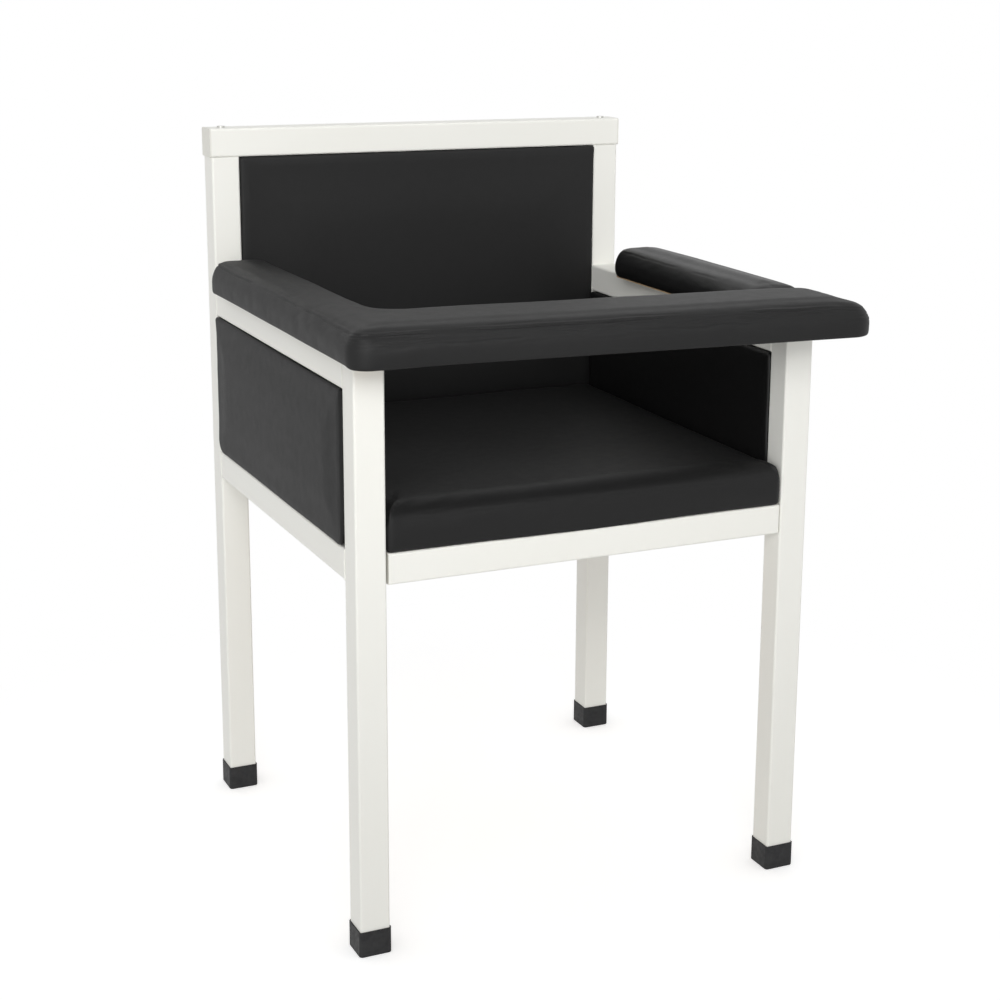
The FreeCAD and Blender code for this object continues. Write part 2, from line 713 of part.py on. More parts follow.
def panel_pad(label, width, height, radii, crown, place, turn):
    """One face's pad of a panel, with a pocket for half of the board and grooves for its fixings."""
    outline = rectangle(-width / 2, -height / 2, width / 2, height / 2)
    shoulder = size("tube / 2 + panel_proud")
    form = soft_form(
        outline, radii, size("soft_gap / 2"), shoulder, size("panel_roll"), crown,
        min(width, height) * size("panel_crown_share"),
    )
    board_corners = [size("board_corner + board_margin")] * len(outline)
    pocket = prism(outline, board_corners, size("board_margin - soft_gap"), 0, size("board / 2 + soft_gap"))
    form = form.cut(pocket)
    for sign in (-1, 1):
        start = FreeCAD.Vector(sign * size("panel_fixing_spacing / 2"), -height / 2, 0)
        reach = size("panel_pin_radius + soft_gap")
        form = form.cut(Part.makeCylinder(reach, height, start, FreeCAD.Vector(0, 1, 0)))
    soft_part(label, form, place, turn)


def facing(direction):
    """Turns a pad's own +Z to a direction, with its height upright."""
    out = FreeCAD.Vector(*direction)
    up = FreeCAD.Vector(0, 0, 1)
    return FreeCAD.Rotation(up.cross(out), up, out, "ZYX")


def board_holes(middle, thin, height):
    """Pin holes in a board's top edge and screw holes in its bottom edge; thin is the board's thin axis."""
    holes = []
    for i, along in enumerate(fixing_places(middle)):
        spot = ("board / 2", along) if thin == "x" else (along, "board / 2")
        top = ("pin_hole_%d" % i, "panel_pin_radius + fit", "screw_grip + fit", spot + (height,), "-z")
        bottom = ("pilot_%d" % i, "screw_radius + fit", "screw_grip + fit", spot + ("0",), "+z")
        holes.extend([top, bottom])
    return holes


def make_back():
    height = "back_top - back_bottom - 2 * board_margin"
    lengths = ("back_width - 2 * board_margin", "board", height)
    middle = "back_width / 2 - board_margin"
    corner = (
        "-back_width / 2 + board_margin", "half_depth - tube / 2 - board / 2", "back_bottom + board_margin"
    )
    plywood("back_board", lengths, corner, "y", board_holes(middle, "y", height))
    width = size("back_width")
    tall = size("back_top - back_bottom")
    centre = ("0", "half_depth - tube / 2", "(back_top + back_bottom) / 2")
    radii = [size("back_corner")] * 4
    panel_pad("back_pad_front", width, tall, radii, size("back_crown"), centre, facing((0, -1, 0)))
    panel_pad("back_pad_rear", width, tall, radii, size("outer_crown"), centre, facing((0, 1, 0)))


def make_side_panels():
    height = "side_top - side_bottom - 2 * board_margin"
    lengths = ("board", "panel_depth - 2 * board_margin", height)
    width = size("panel_depth")
    tall = size("side_top - side_bottom")
    radii = [size("panel_low_corner")] * 2 + [size("panel_top_corner")] * 2
    for side, sign in SIDES.items():
        x = signed(side, "rail_middle")
        corner = (x + " - board / 2", "-panel_depth / 2 + board_margin", "side_bottom + board_margin")
        holes = board_holes("panel_depth / 2 - board_margin", "x", height)
        plywood(side + "_side_board", lengths, corner, "x", holes)
        centre = (x, "0", "(side_top + side_bottom) / 2")
        outer = facing((sign, 0, 0))
        inner = facing((-sign, 0, 0))
        panel_pad(side + "_side_pad_outer", width, tall, radii, size("outer_crown"), centre, outer)
        panel_pad(side + "_side_pad_inner", width, tall, radii, size("inner_crown"), centre, inner)


# Right arm

def make_right_arm():
    pieces = []
    holes = []
    for i, sign in enumerate("-+"):
        y = "right_screw_middle %s right_arm_screw_spacing / 2" % sign
        centre = ("rail_middle", y, "arm_height - tube")
        pieces.append(screw("right_arm_screw_%d" % i, "screw", "tube + screw_grip", centre, "-z"))
        spot = ("rail_middle - right_pad_inner - board_margin", y + " - right_pad_front - board_margin", "0")
        holes.append(("pilot_%d" % i, "screw_radius + fit", "screw_grip + fit", spot, "+z"))
    group("right_arm_screws", pieces)
    depth = "right_pad_rear - right_pad_front"
    lengths = ("arm_pad_width - 2 * board_margin", depth + " - 2 * board_margin", "board")
    corner = ("right_pad_inner + board_margin", "right_pad_front + board_margin", "arm_height")
    plywood("right_arm_board", lengths, corner, "z", holes, "arm_corner - board_margin")
    outline = rectangle(
        size("right_pad_inner"), size("right_pad_front"), size("right_pad_outer"), size("right_pad_rear")
    )
    radii = [size("arm_square_corner")] * 2 + [size("arm_corner")] * 2
    form = soft_form(
        outline, radii, size("soft_gap"), size("right_arm_pad"), size("arm_roll"), size("arm_crown"),
        size("arm_crown_run"),
    )
    board_corners = [size("arm_corner")] * len(outline)
    pocket = prism(outline, board_corners, size("board_margin - soft_gap"), 0, size("board + soft_gap"))
    soft_part("right_arm_pad", form.cut(pocket), ("0", "0", "arm_height"))


# Flip arm: an L of one arm and one bar, hinged along the left arm rail

def arm_corners(margin, left="arm_left"):
    """The L's corners as formulas, counter-clockwise from the front left, moved in by a margin."""
    def front(x):
        return "bar_front - bar_slope * (%s - arm_left) + (%s) * bar_slant" % (x, margin)

    def rear(x):
        return "bar_rear - bar_slope * (%s - arm_left) - (%s) * bar_slant" % (x, margin)

    low_x = "%s + %s" % (left, margin)
    high_x = "bar_end - %s" % margin
    inner_x = "arm_right - %s" % margin
    rear_y = "arm_rear - %s" % margin
    return [
        (low_x, front(low_x)),
        (high_x, front(high_x)),
        (high_x, rear(high_x)),
        (inner_x, rear(inner_x)),
        (inner_x, rear_y),
        (low_x, rear_y),
    ]


def corner_sketch(body, name, corners):
    """A closed sketch through corners given as formulas."""
    sketch = body.newObject("Sketcher::SketchObject", body.Label + "_" + name)
    plane = [item for item in body.Origin.OriginFeatures if item.Role == "XY_Plane"][0]
    sketch.AttachmentSupport = [(plane, "")]
    sketch.MapMode = "FlatFace"
    points = [FreeCAD.Vector(size(x), size(y), 0) for x, y in corners]
    count = len(points)
    for i in range(count):
        sketch.addGeometry(Part.LineSegment(points[i], points[(i + 1) % count]), False)
    for i in range(count):
        sketch.addConstraint(Sketcher.Constraint("Coincident", i, 2, (i + 1) % count, 1))
    for i, (x, y) in enumerate(corners):
        for kind, text, number in (("DistanceX", x, points[i].x), ("DistanceY", y, points[i].y)):
            index = sketch.addConstraint(Sketcher.Constraint(kind, -1, 1, i, 1, number))
            bind(sketch, "Constraints[%d]" % index, text)
    return sketch


def stands_at(spots):
    """True for an upright edge at one of the corners given as formulas."""
    places = [FreeCAD.Vector(size(x), size(y), 0) for x, y in spots]

    def wanted(edge):
        if not runs_along("z")(edge):
            return False
        foot = edge.valueAt(edge.FirstParameter)
        foot.z = 0
        return min(foot.distanceToPoint(place) for place in places) < size("fit")

    return wanted


def padded_body(label, corners, thickness):
    body = new_body(label)
    sketch = corner_sketch(body, "outline", corners)
    pad = body.newObject("PartDesign::Pad", label + "_pad")
    pad.Profile = sketch
    bind(pad, "Length", thickness)
    return body


def make_flip_arm():
    corners = arm_corners("board_margin")
    body = padded_body("arm_board", corners, "board")
    round_off(body, "front_end", "bar_end_corner - board_margin", stands_at(corners[1:2]))
    round_off(body, "rear_end", "bar_rear_corner - board_margin", stands_at(corners[2:3]))
    round_off(body, "hollow", "inner_corner + board_margin", stands_at(corners[3:4]))
    round_off(body, "arm_corners", "arm_corner - board_margin", stands_at(corners[4:] + corners[:1]))
    for i, y in enumerate(hinge_screw_places(ARM_SCREW_STEPS)):
        centre = ("-rail_middle", y, "0")
        depth = "hinge_screw_length + fit"
        drum(body, "Subtractive", "pilot_%d" % i, "hinge_screw_radius + fit", depth, centre)
    stand_at(body, ("0", "0", "arm_base"))

    outline = [FreeCAD.Vector(size(x), size(y), 0) for x, y in arm_corners("0")]
    names = ("arm_corner", "bar_end_corner", "bar_rear_corner", "inner_corner", "arm_corner", "arm_corner")
    radii = [size(name) for name in names]
    form = soft_form(
        outline, radii, size("soft_gap"), size("arm_pad"), size("arm_roll"), size("arm_crown"),
        size("arm_crown_run"),
    )
    pocket = prism(outline, radii, size("board_margin - soft_gap"), 0, size("board + soft_gap"))
    soft_part("arm_pad", form.cut(pocket), ("0", "0", "arm_base"))

    left = "leaf_inner - board_margin"
    cover = padded_body("arm_underside_cover", arm_corners("2 * board_margin", left), "cover")
    stand_at(cover, ("0", "0", "arm_base - cover"))


def hinge_leaf(label, first_knuckle, leaf_z, tab_z):
    """A leaf along the rail with every second knuckle; z is measured from the hinge axis."""
    body = new_body(label)
    block(body, "Additive", "plate", ("leaf_width", "hinge_length", "leaf"), ("hinge_outset", "0", leaf_z))
    length = "knuckle_pitch - knuckle_gap"
    for i in range(int(size("knuckle_pairs"))):
        y = "(%d + %d) * knuckle_pitch + knuckle_gap / 2" % (2 * i, first_knuckle)
        block(body, "Additive", "tab_%d" % i, ("hinge_outset", length, "knuckle_radius"), ("0", y, tab_z))
        drum(body, "Additive", "knuckle_%d" % i, "knuckle_radius", length, ("0", y, "0"), "+y")
    drum(body, "Subtractive", "bore", "pin_radius + pin_play", "hinge_length", ("0", "0", "0"), "+y")
    return body


def make_hinge():
    axis = ("hinge_x", "hinge_front", "hinge_z")
    rail_leaf_z = "-knuckle_radius - knuckle_play"
    arm_leaf_z = "knuckle_radius + knuckle_play - leaf"
    rail_leaf = hinge_leaf("hinge_rail_leaf", 0, rail_leaf_z, "-knuckle_radius - knuckle_play")
    arm_leaf = hinge_leaf("hinge_arm_leaf", 1, arm_leaf_z, "knuckle_play")
    screw_x = "half_width + hinge_outset - rail_middle"
    drilled = ((rail_leaf, RAIL_SCREW_STEPS, rail_leaf_z), (arm_leaf, ARM_SCREW_STEPS, arm_leaf_z))
    for leaf, steps, z in drilled:
        for i, y in enumerate(hinge_screw_places(steps)):
            centre = (screw_x, y + " - hinge_front", z)
            drum(leaf, "Subtractive", "hole_%d" % i, "hinge_screw_radius + fit", "leaf", centre)
        stand_at(leaf, axis)
    pin = cylinder("hinge_pin", "pin_radius", "hinge_length", axis, "+y")
    pin.Label = "hinge_pin"
    parts.append(pin)
    rail_screws = []
    for i, y in enumerate(hinge_screw_places(RAIL_SCREW_STEPS)):
        centre = ("-rail_middle", y, "arm_height + leaf")
        name = "hinge_rail_screw_%d" % i
        rail_screws.append(screw(name, "hinge_screw", "hinge_screw_length", centre, "+z"))
    group("hinge_rail_screws", rail_screws)
    arm_screws = []
    for i, y in enumerate(hinge_screw_places(ARM_SCREW_STEPS)):
        centre = ("-rail_middle", y, "arm_base - leaf")
        name = "hinge_arm_screw_%d" % i
        arm_screws.append(screw(name, "hinge_screw", "hinge_screw_length", centre, "-z"))
    group("hinge_arm_screws", arm_screws)


def make_bumper():
    """The rubber button on the right front leg that the bar comes down on."""
    body = new_body("rest_bumper")
    height = "arm_base - cover - bumper_gap - arm_height"
    drum(body, "Additive", "button", "bumper_radius", height, ("0", "0", "0"))
    drum(body, "Additive", "stem", "bumper_stem_radius", "bumper_stem", ("0", "0", "0"), "-z")
    stand_at(body, ("rail_middle", "-half_depth + tube / 2", "arm_height"))


# Checks and files

def check_and_export():
    for item in doc.Objects:
        if "Invalid" in item.State or "Error" in item.State:
            raise RuntimeError("%s failed: %s" % (item.Label, item.State))
    os.makedirs("parts", exist_ok=True)
    for item in parts:
        if item.Shape.isNull() or not item.Shape.isValid() or not item.Shape.Solids:
            raise RuntimeError("%s has no sound shape" % item.Label)
    for item in parts:
        item.Shape.exportStep("parts/%s.step" % item.Label)
    print("%d sub-parts" % len(parts))


parts = []
fill_sheet()
make_legs()
make_arm_rails()
make_lower_rails()
make_top_rail()
make_seat_frame()
make_foot_caps()
make_leg_plugs()
make_upright_inserts()
make_top_rail_caps()
make_seat_rail_plugs()
make_top_screws()
make_seat_bolts()
make_seat_screws()
make_panel_fixings()
make_seat()
make_back()
make_side_panels()
make_right_arm()
make_flip_arm()
make_hinge()
make_bumper()
doc.recompute()
check_and_export()
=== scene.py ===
import json
import math
from collections import namedtuple

import bpy
import numpy as np
from mathutils import Matrix, Vector, geometry, noise


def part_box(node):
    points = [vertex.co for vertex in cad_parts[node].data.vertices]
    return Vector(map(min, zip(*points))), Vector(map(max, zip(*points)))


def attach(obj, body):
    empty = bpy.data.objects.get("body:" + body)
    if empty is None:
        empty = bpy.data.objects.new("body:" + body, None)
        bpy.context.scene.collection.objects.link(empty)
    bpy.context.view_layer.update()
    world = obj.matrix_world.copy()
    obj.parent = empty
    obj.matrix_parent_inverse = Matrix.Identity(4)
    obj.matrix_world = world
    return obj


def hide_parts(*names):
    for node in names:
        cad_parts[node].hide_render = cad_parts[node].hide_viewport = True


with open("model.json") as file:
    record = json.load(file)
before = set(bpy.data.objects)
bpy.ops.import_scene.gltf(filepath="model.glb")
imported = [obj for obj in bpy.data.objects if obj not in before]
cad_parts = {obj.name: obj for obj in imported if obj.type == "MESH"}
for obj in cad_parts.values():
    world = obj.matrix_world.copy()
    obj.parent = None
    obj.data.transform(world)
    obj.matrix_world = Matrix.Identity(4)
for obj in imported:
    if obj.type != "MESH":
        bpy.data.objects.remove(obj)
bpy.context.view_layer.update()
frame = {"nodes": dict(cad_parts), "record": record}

MM = 0.001


# Materials

# Most of a noise texture's values lie between these two.
NOISE_LOW, NOISE_HIGH = 0.3, 0.7


def larger(tree, first, second):
    node = tree.nodes.new("ShaderNodeMath")
    node.operation = "MAXIMUM"
    tree.links.new(first, node.inputs[0])
    tree.links.new(second, node.inputs[1])
    return node.outputs["Value"]


class Shader:
    """A node material under construction, with short names for the nodes that the finishes share."""

    def __init__(self, name, color, roughness, metallic=0.0, specular=0.5):
        self.material = bpy.data.materials.new(name)
        self.material.use_nodes = True
        self.tree = self.material.node_tree
        self.bsdf = self.tree.nodes["Principled BSDF"]
        self.bsdf.inputs["Base Color"].default_value = (*color, 1)
        self.bsdf.inputs["Roughness"].default_value = roughness
        self.bsdf.inputs["Metallic"].default_value = metallic
        self.bsdf.inputs["Specular IOR Level"].default_value = specular
        self.normal = None
        self.place = self.tree.nodes.new("ShaderNodeTexCoord").outputs["Object"]

    def stretched(self, scale):
        node = self.tree.nodes.new("ShaderNodeMapping")
        node.inputs["Scale"].default_value = scale
        self.tree.links.new(self.place, node.inputs["Vector"])
        return node.outputs["Vector"]

    def wavering(self, scale, amount):
        """The object's coordinates, each moved a little by a noise."""
        shift = self.tree.nodes.new("ShaderNodeVectorMath")
        shift.operation = "SCALE"
        shift.inputs["Scale"].default_value = amount
        self.tree.links.new(self.noise(scale, detail=1, output="Color"), shift.inputs[0])
        moved = self.tree.nodes.new("ShaderNodeVectorMath")
        moved.operation = "ADD"
        self.tree.links.new(self.place, moved.inputs[0])
        self.tree.links.new(shift.outputs["Vector"], moved.inputs[1])
        return moved.outputs["Vector"]

    def noise(self, scale, detail, vector=None, distortion=0.0, output="Fac"):
        node = self.tree.nodes.new("ShaderNodeTexNoise")
        node.inputs["Scale"].default_value = scale
        node.inputs["Detail"].default_value = detail
        node.inputs["Distortion"].default_value = distortion
        self.tree.links.new(vector or self.place, node.inputs["Vector"])
        return node.outputs[output]

    def cells(self, scale, vector):
        """The distance to the nearest edge of a pattern of cells."""
        node = self.tree.nodes.new("ShaderNodeTexVoronoi")
        node.feature = "DISTANCE_TO_EDGE"
        node.inputs["Scale"].default_value = scale
        self.tree.links.new(vector, node.inputs["Vector"])
        return node.outputs["Distance"]

    def span(self, value, low, high, to_low, to_high):
        node = self.tree.nodes.new("ShaderNodeMapRange")
        node.inputs["From Min"].default_value = low
        node.inputs["From Max"].default_value = high
        node.inputs["To Min"].default_value = to_low
        node.inputs["To Max"].default_value = to_high
        self.tree.links.new(value, node.inputs["Value"])
        return node.outputs["Result"]

    def tint(self, value, low, high, most, color):
        """Mixes a colour over what the base colour is so far, from none of it at low to the most at high."""
        node = self.tree.nodes.new("ShaderNodeMix")
        node.data_type = "RGBA"
        self.tree.links.new(self.span(value, low, high, 0, most), node.inputs["Factor"])
        base = self.bsdf.inputs["Base Color"]
        if base.links:
            self.tree.links.new(base.links[0].from_socket, node.inputs["A"])
        else:
            node.inputs["A"].default_value = base.default_value
        node.inputs["B"].default_value = (*color, 1)
        self.tree.links.new(node.outputs["Result"], base)

    def vary_roughness(self, value, least, most):
        spread = self.span(value, NOISE_LOW, NOISE_HIGH, least, most)
        self.tree.links.new(spread, self.bsdf.inputs["Roughness"])

    def bump(self, value, distance, strength=1.0):
        """Adds a relief of the given height, in metres, to what is there so far."""
        node = self.tree.nodes.new("ShaderNodeBump")
        node.inputs["Distance"].default_value = distance
        node.inputs["Strength"].default_value = strength
        self.tree.links.new(value, node.inputs["Height"])
        if self.normal is not None:
            self.tree.links.new(self.normal, node.inputs["Normal"])
        self.normal = node.outputs["Normal"]
        self.tree.links.new(self.normal, self.bsdf.inputs["Normal"])


def powder_coat():
    coat = Shader("warm_white_powder_coat", (0.89, 0.885, 0.835), 0.42, specular=0.4)
    coat.tint(coat.noise(scale=4.5, detail=3), low=0.42, high=0.7, most=0.35, color=(0.87, 0.862, 0.8))
    coat.bump(coat.noise(scale=520, detail=2), distance=0.00006)
    coat.bump(coat.noise(scale=90, detail=2), distance=0.00008)
    coat.vary_roughness(coat.noise(scale=160, detail=3), least=0.38, most=0.47)
    return coat.material


def vinyl(name, rough=(0.545, 0.585), specular=0.32):
    """Black upholstery vinyl: fine embossed leather grain with a soft satin finish."""
    black = (0.004, 0.004, 0.0041)
    paler = tuple(c * 1.35 for c in black)
    cover = Shader(name, black, rough[0], specular=specular)
    cover.tint(cover.noise(scale=9, detail=4), low=0.35, high=0.75, most=0.5, color=paler)
    pebble = cover.cells(scale=620, vector=cover.wavering(scale=260, amount=0.0014))
    cover.bump(cover.span(pebble, 0.0, 0.22, 0, 1), distance=0.00009, strength=0.55)
    cover.bump(cover.noise(scale=1500, detail=2), distance=0.00003, strength=0.5)
    cover.vary_roughness(cover.noise(scale=70, detail=4), *rough)
    return cover.material


def black_rubber():
    rubber = Shader("black_rubber", (0.012, 0.012, 0.013), 0.62, specular=0.35)
    rubber.tint(rubber.noise(scale=60, detail=4), low=0.45, high=0.8, most=0.6, color=(0.03, 0.03, 0.031))
    rubber.bump(rubber.noise(scale=1100, detail=2), distance=0.00007)
    rubber.bump(rubber.noise(scale=140, detail=2), distance=0.0002, strength=0.4)
    rubber.vary_roughness(rubber.noise(scale=200, detail=2), least=0.52, most=0.7)
    return rubber.material


def moulded_plastic(name, color):
    plastic = Shader(name, color, 0.42, specular=0.45)
    darker = tuple(c * 0.93 for c in color)
    plastic.bump(plastic.noise(scale=1400, detail=1), distance=0.00003)
    plastic.tint(plastic.noise(scale=30, detail=3), low=0.4, high=0.8, most=0.4, color=darker)
    plastic.vary_roughness(plastic.noise(scale=120, detail=2), least=0.42, most=0.55)
    return plastic.material


def zinc_plate():
    zinc = Shader("zinc_plate", (0.62, 0.62, 0.6), 0.3, metallic=1.0)
    zinc.tint(zinc.noise(scale=350, detail=3), low=0.4, high=0.75, most=0.6, color=(0.5, 0.5, 0.47))
    zinc.bump(zinc.noise(scale=1500, detail=2), distance=0.00003)
    zinc.vary_roughness(zinc.noise(scale=260, detail=3), least=0.24, most=0.42)
    return zinc.material


def brushed_strip():
    steel = Shader("bright_strip", (0.6, 0.6, 0.59), 0.34, metallic=1.0)
    lines = steel.noise(scale=55, detail=3, vector=steel.stretched((30, 1, 30)))
    steel.tint(lines, low=0.35, high=0.7, most=0.5, color=(0.48, 0.48, 0.47))
    steel.bump(lines, distance=0.00005)
    steel.vary_roughness(lines, least=0.26, most=0.45)
    return steel.material


def birch_plywood():
    board = Shader("birch_plywood", (0.56, 0.4, 0.24), 0.6, specular=0.3)
    grain = board.noise(scale=14, detail=5, vector=board.stretched((1, 9, 9)), distortion=0.6)
    board.tint(grain, low=0.38, high=0.68, most=0.8, color=(0.42, 0.27, 0.14))
    pores = board.noise(scale=160, detail=2, vector=board.stretched((1, 14, 14)))
    board.tint(pores, low=0.55, high=0.75, most=0.6, color=(0.33, 0.2, 0.1))
    board.bump(pores, distance=0.00012)
    return board.material


def dust_cloth():
    """Thin woven black cloth under the flip arm."""
    cloth = Shader("black_dust_cloth", (0.014, 0.014, 0.015), 0.85, specular=0.2)
    across = cloth.noise(scale=900, detail=1, vector=cloth.stretched((1, 0.12, 1)))
    along = cloth.noise(scale=900, detail=1, vector=cloth.stretched((0.12, 1, 1)))
    weave = larger(cloth.tree, across, along)
    cloth.tint(weave, low=0.45, high=0.7, most=0.6, color=(0.035, 0.035, 0.037))
    cloth.bump(weave, distance=0.00015)
    cloth.bsdf.inputs["Sheen Weight"].default_value = 0.15
    return cloth.material


# Sampled outlines

FEWEST_ON_STRAIGHT = 4
FEWEST_ON_ARC = 5

# An arc keeps at least these shares of its own radius and of the inset, so that inner rings stay round.
RADIUS_KEPT, INSET_KEPT = 0.15, 0.45

NO_LENGTH = 1e-12


def corner_ring(corners, inset):
    """Each corner moved in by the inset, counter-clockwise."""
    moved = []
    count = len(corners)
    for i in range(count):
        before = (corners[i] - corners[i - 1]).normalized()
        after = (corners[(i + 1) % count] - corners[i]).normalized()
        n0, n1 = Vector((-before.y, before.x)), Vector((-after.y, after.x))
        moved.append(corners[i] + (n0 + n1) * (inset / (1 + n0.dot(n1))))
    return moved


def segment_counts(corners, radii, step, arc_step):
    """How many pieces each straight and each arc gets, so that all rings of a pad match."""
    counts = []
    count = len(corners)
    for i in range(count):
        before = (corners[i - 1] - corners[i]).normalized()
        after = (corners[(i + 1) % count] - corners[i]).normalized()
        turn = math.pi - before.angle(after)
        straight = (corners[i] - corners[i - 1]).length
        on_straight = max(FEWEST_ON_STRAIGHT, round(straight / step))
        on_arc = max(FEWEST_ON_ARC, round(radii[i] * turn / arc_step))
        counts.append((on_straight, on_arc))
    return counts


def corner_arc(before, corner, after, radius, inset, pieces):
    """Points of the arc that rounds one corner of a ring; an arc in a hollow corner grows with the inset."""
    back, on = (before - corner).normalized(), (after - corner).normalized()
    hollow = back.cross(on) > 0
    radius = radius + inset if hollow else max(radius - inset, RADIUS_KEPT * radius, INSET_KEPT * inset)
    half = back.angle(on) / 2
    begin = corner + back * (radius / math.tan(half))
    centre = corner + (back + on).normalized() * (radius / math.sin(half))
    start = math.atan2(begin.y - centre.y, begin.x - centre.x)
    sweep = math.pi - 2 * half
    if hollow:
        sweep = -sweep
    angles = [start + sweep * k / pieces for k in range(pieces + 1)]
    return [centre + Vector((math.cos(angle), math.sin(angle))) * radius for angle in angles]


def ring(corners, radii, inset, counts):
    """Points of the rounded outline moved in by the inset. The first run ends at corner 0."""
    moved = corner_ring(corners, inset)
    count = len(corners)
    arcs = []
    for i in range(count):
        arcs.append(corner_arc(moved[i - 1], moved[i], moved[(i + 1) % count], radii[i], inset, counts[i][1]))
    result = []
    for i in range(count):
        a, b = arcs[i - 1][-1], arcs[i][0]
        for k in range(1, counts[i][0]):
            result.append(a.lerp(b, k / counts[i][0]))
        result.extend(arcs[i])
    return np.array(result)


def profile(points, step):
    """A smooth run through (inset, height, step share) control points, as (inset, height) rows."""
    points = [np.array(p, float) for p in points]
    rows = []
    for i in range(len(points) - 1):
        p0 = points[max(i - 1, 0)]
        p1, p2 = points[i], points[i + 1]
        p3 = points[min(i + 2, len(points) - 1)]
        length = np.hypot(*(p2 - p1)[:2])
        pieces = max(1, int(math.ceil(length / (step * p1[2]))))
        for k in range(pieces):
            t = k / pieces
            q = 0.5 * (
                2 * p1 + (p2 - p0) * t + (2 * p0 - 5 * p1 + 4 * p2 - p3) * t * t
                + (3 * p1 - p0 - 3 * p2 + p3) * t ** 3
            )
            rows.append(q[:2])
    rows.append(points[-1][:2])
    return np.array(rows)


def edge_distance(points, outline):
    """Distance of each point to a closed polyline."""
    best = np.full(len(points), np.inf)
    for a, b in zip(outline, np.roll(outline, -1, axis=0)):
        d = b - a
        t = np.clip(((points - a) @ d) / max(d @ d, NO_LENGTH), 0, 1)
        best = np.minimum(best, np.hypot(*(points - a - t[:, None] * d).T))
    return best


def within(points, outline):
    """Which points lie inside a closed polyline."""
    inside = np.zeros(len(points), bool)
    for p, q in zip(outline, np.roll(outline, -1, axis=0)):
        crosses = (p[1] > points[:, 1]) != (q[1] > points[:, 1])
        if abs(q[1] - p[1]) > NO_LENGTH:
            x = (q[0] - p[0]) * (points[:, 1] - p[1]) / (q[1] - p[1]) + p[0]
            inside ^= crosses & (points[:, 0] < x)
    return inside


def filled(edge, grid):
    """Points inside a closed ring on a triangular grid, and triangles over the ring and those points."""
    low, high = edge.min(0), edge.max(0)
    row_step = grid * 0.866
    points = []
    row = 0
    y = low[1] + grid * 0.5
    while y < high[1]:
        x = low[0] + grid * (0.5 if row % 2 else 1.0)
        while x < high[0]:
            points.append((x, y))
            x += grid
        y += row_step
        row += 1
    points = np.array(points)
    points = points[within(points, edge)]
    clear_of_edge = grid * 0.45
    points = points[edge_distance(points, edge) > clear_of_edge]
    every = [Vector(p) for p in edge] + [Vector(p) for p in points]
    keep_inside = 1
    same_point = 1e-7
    result = geometry.delaunay_2d_cdt(every, [], [list(range(len(edge)))], keep_inside, same_point)
    triangles, origins = result[2], result[3]
    faces = []
    for triangle in triangles:
        face = [origins[i][0] for i in triangle]
        a, b, c = [every[i] for i in face]
        if (b - a).cross(c - a) < 0:
            face.reverse()
        faces.append(tuple(face))
    return points, faces


def climb(x, start, run):
    """0 up to the start, then a smooth climb to 1 over the run."""
    x = np.clip((x - start) / run, 0, 1)
    return x * x * (3 - 2 * x)


# Pads

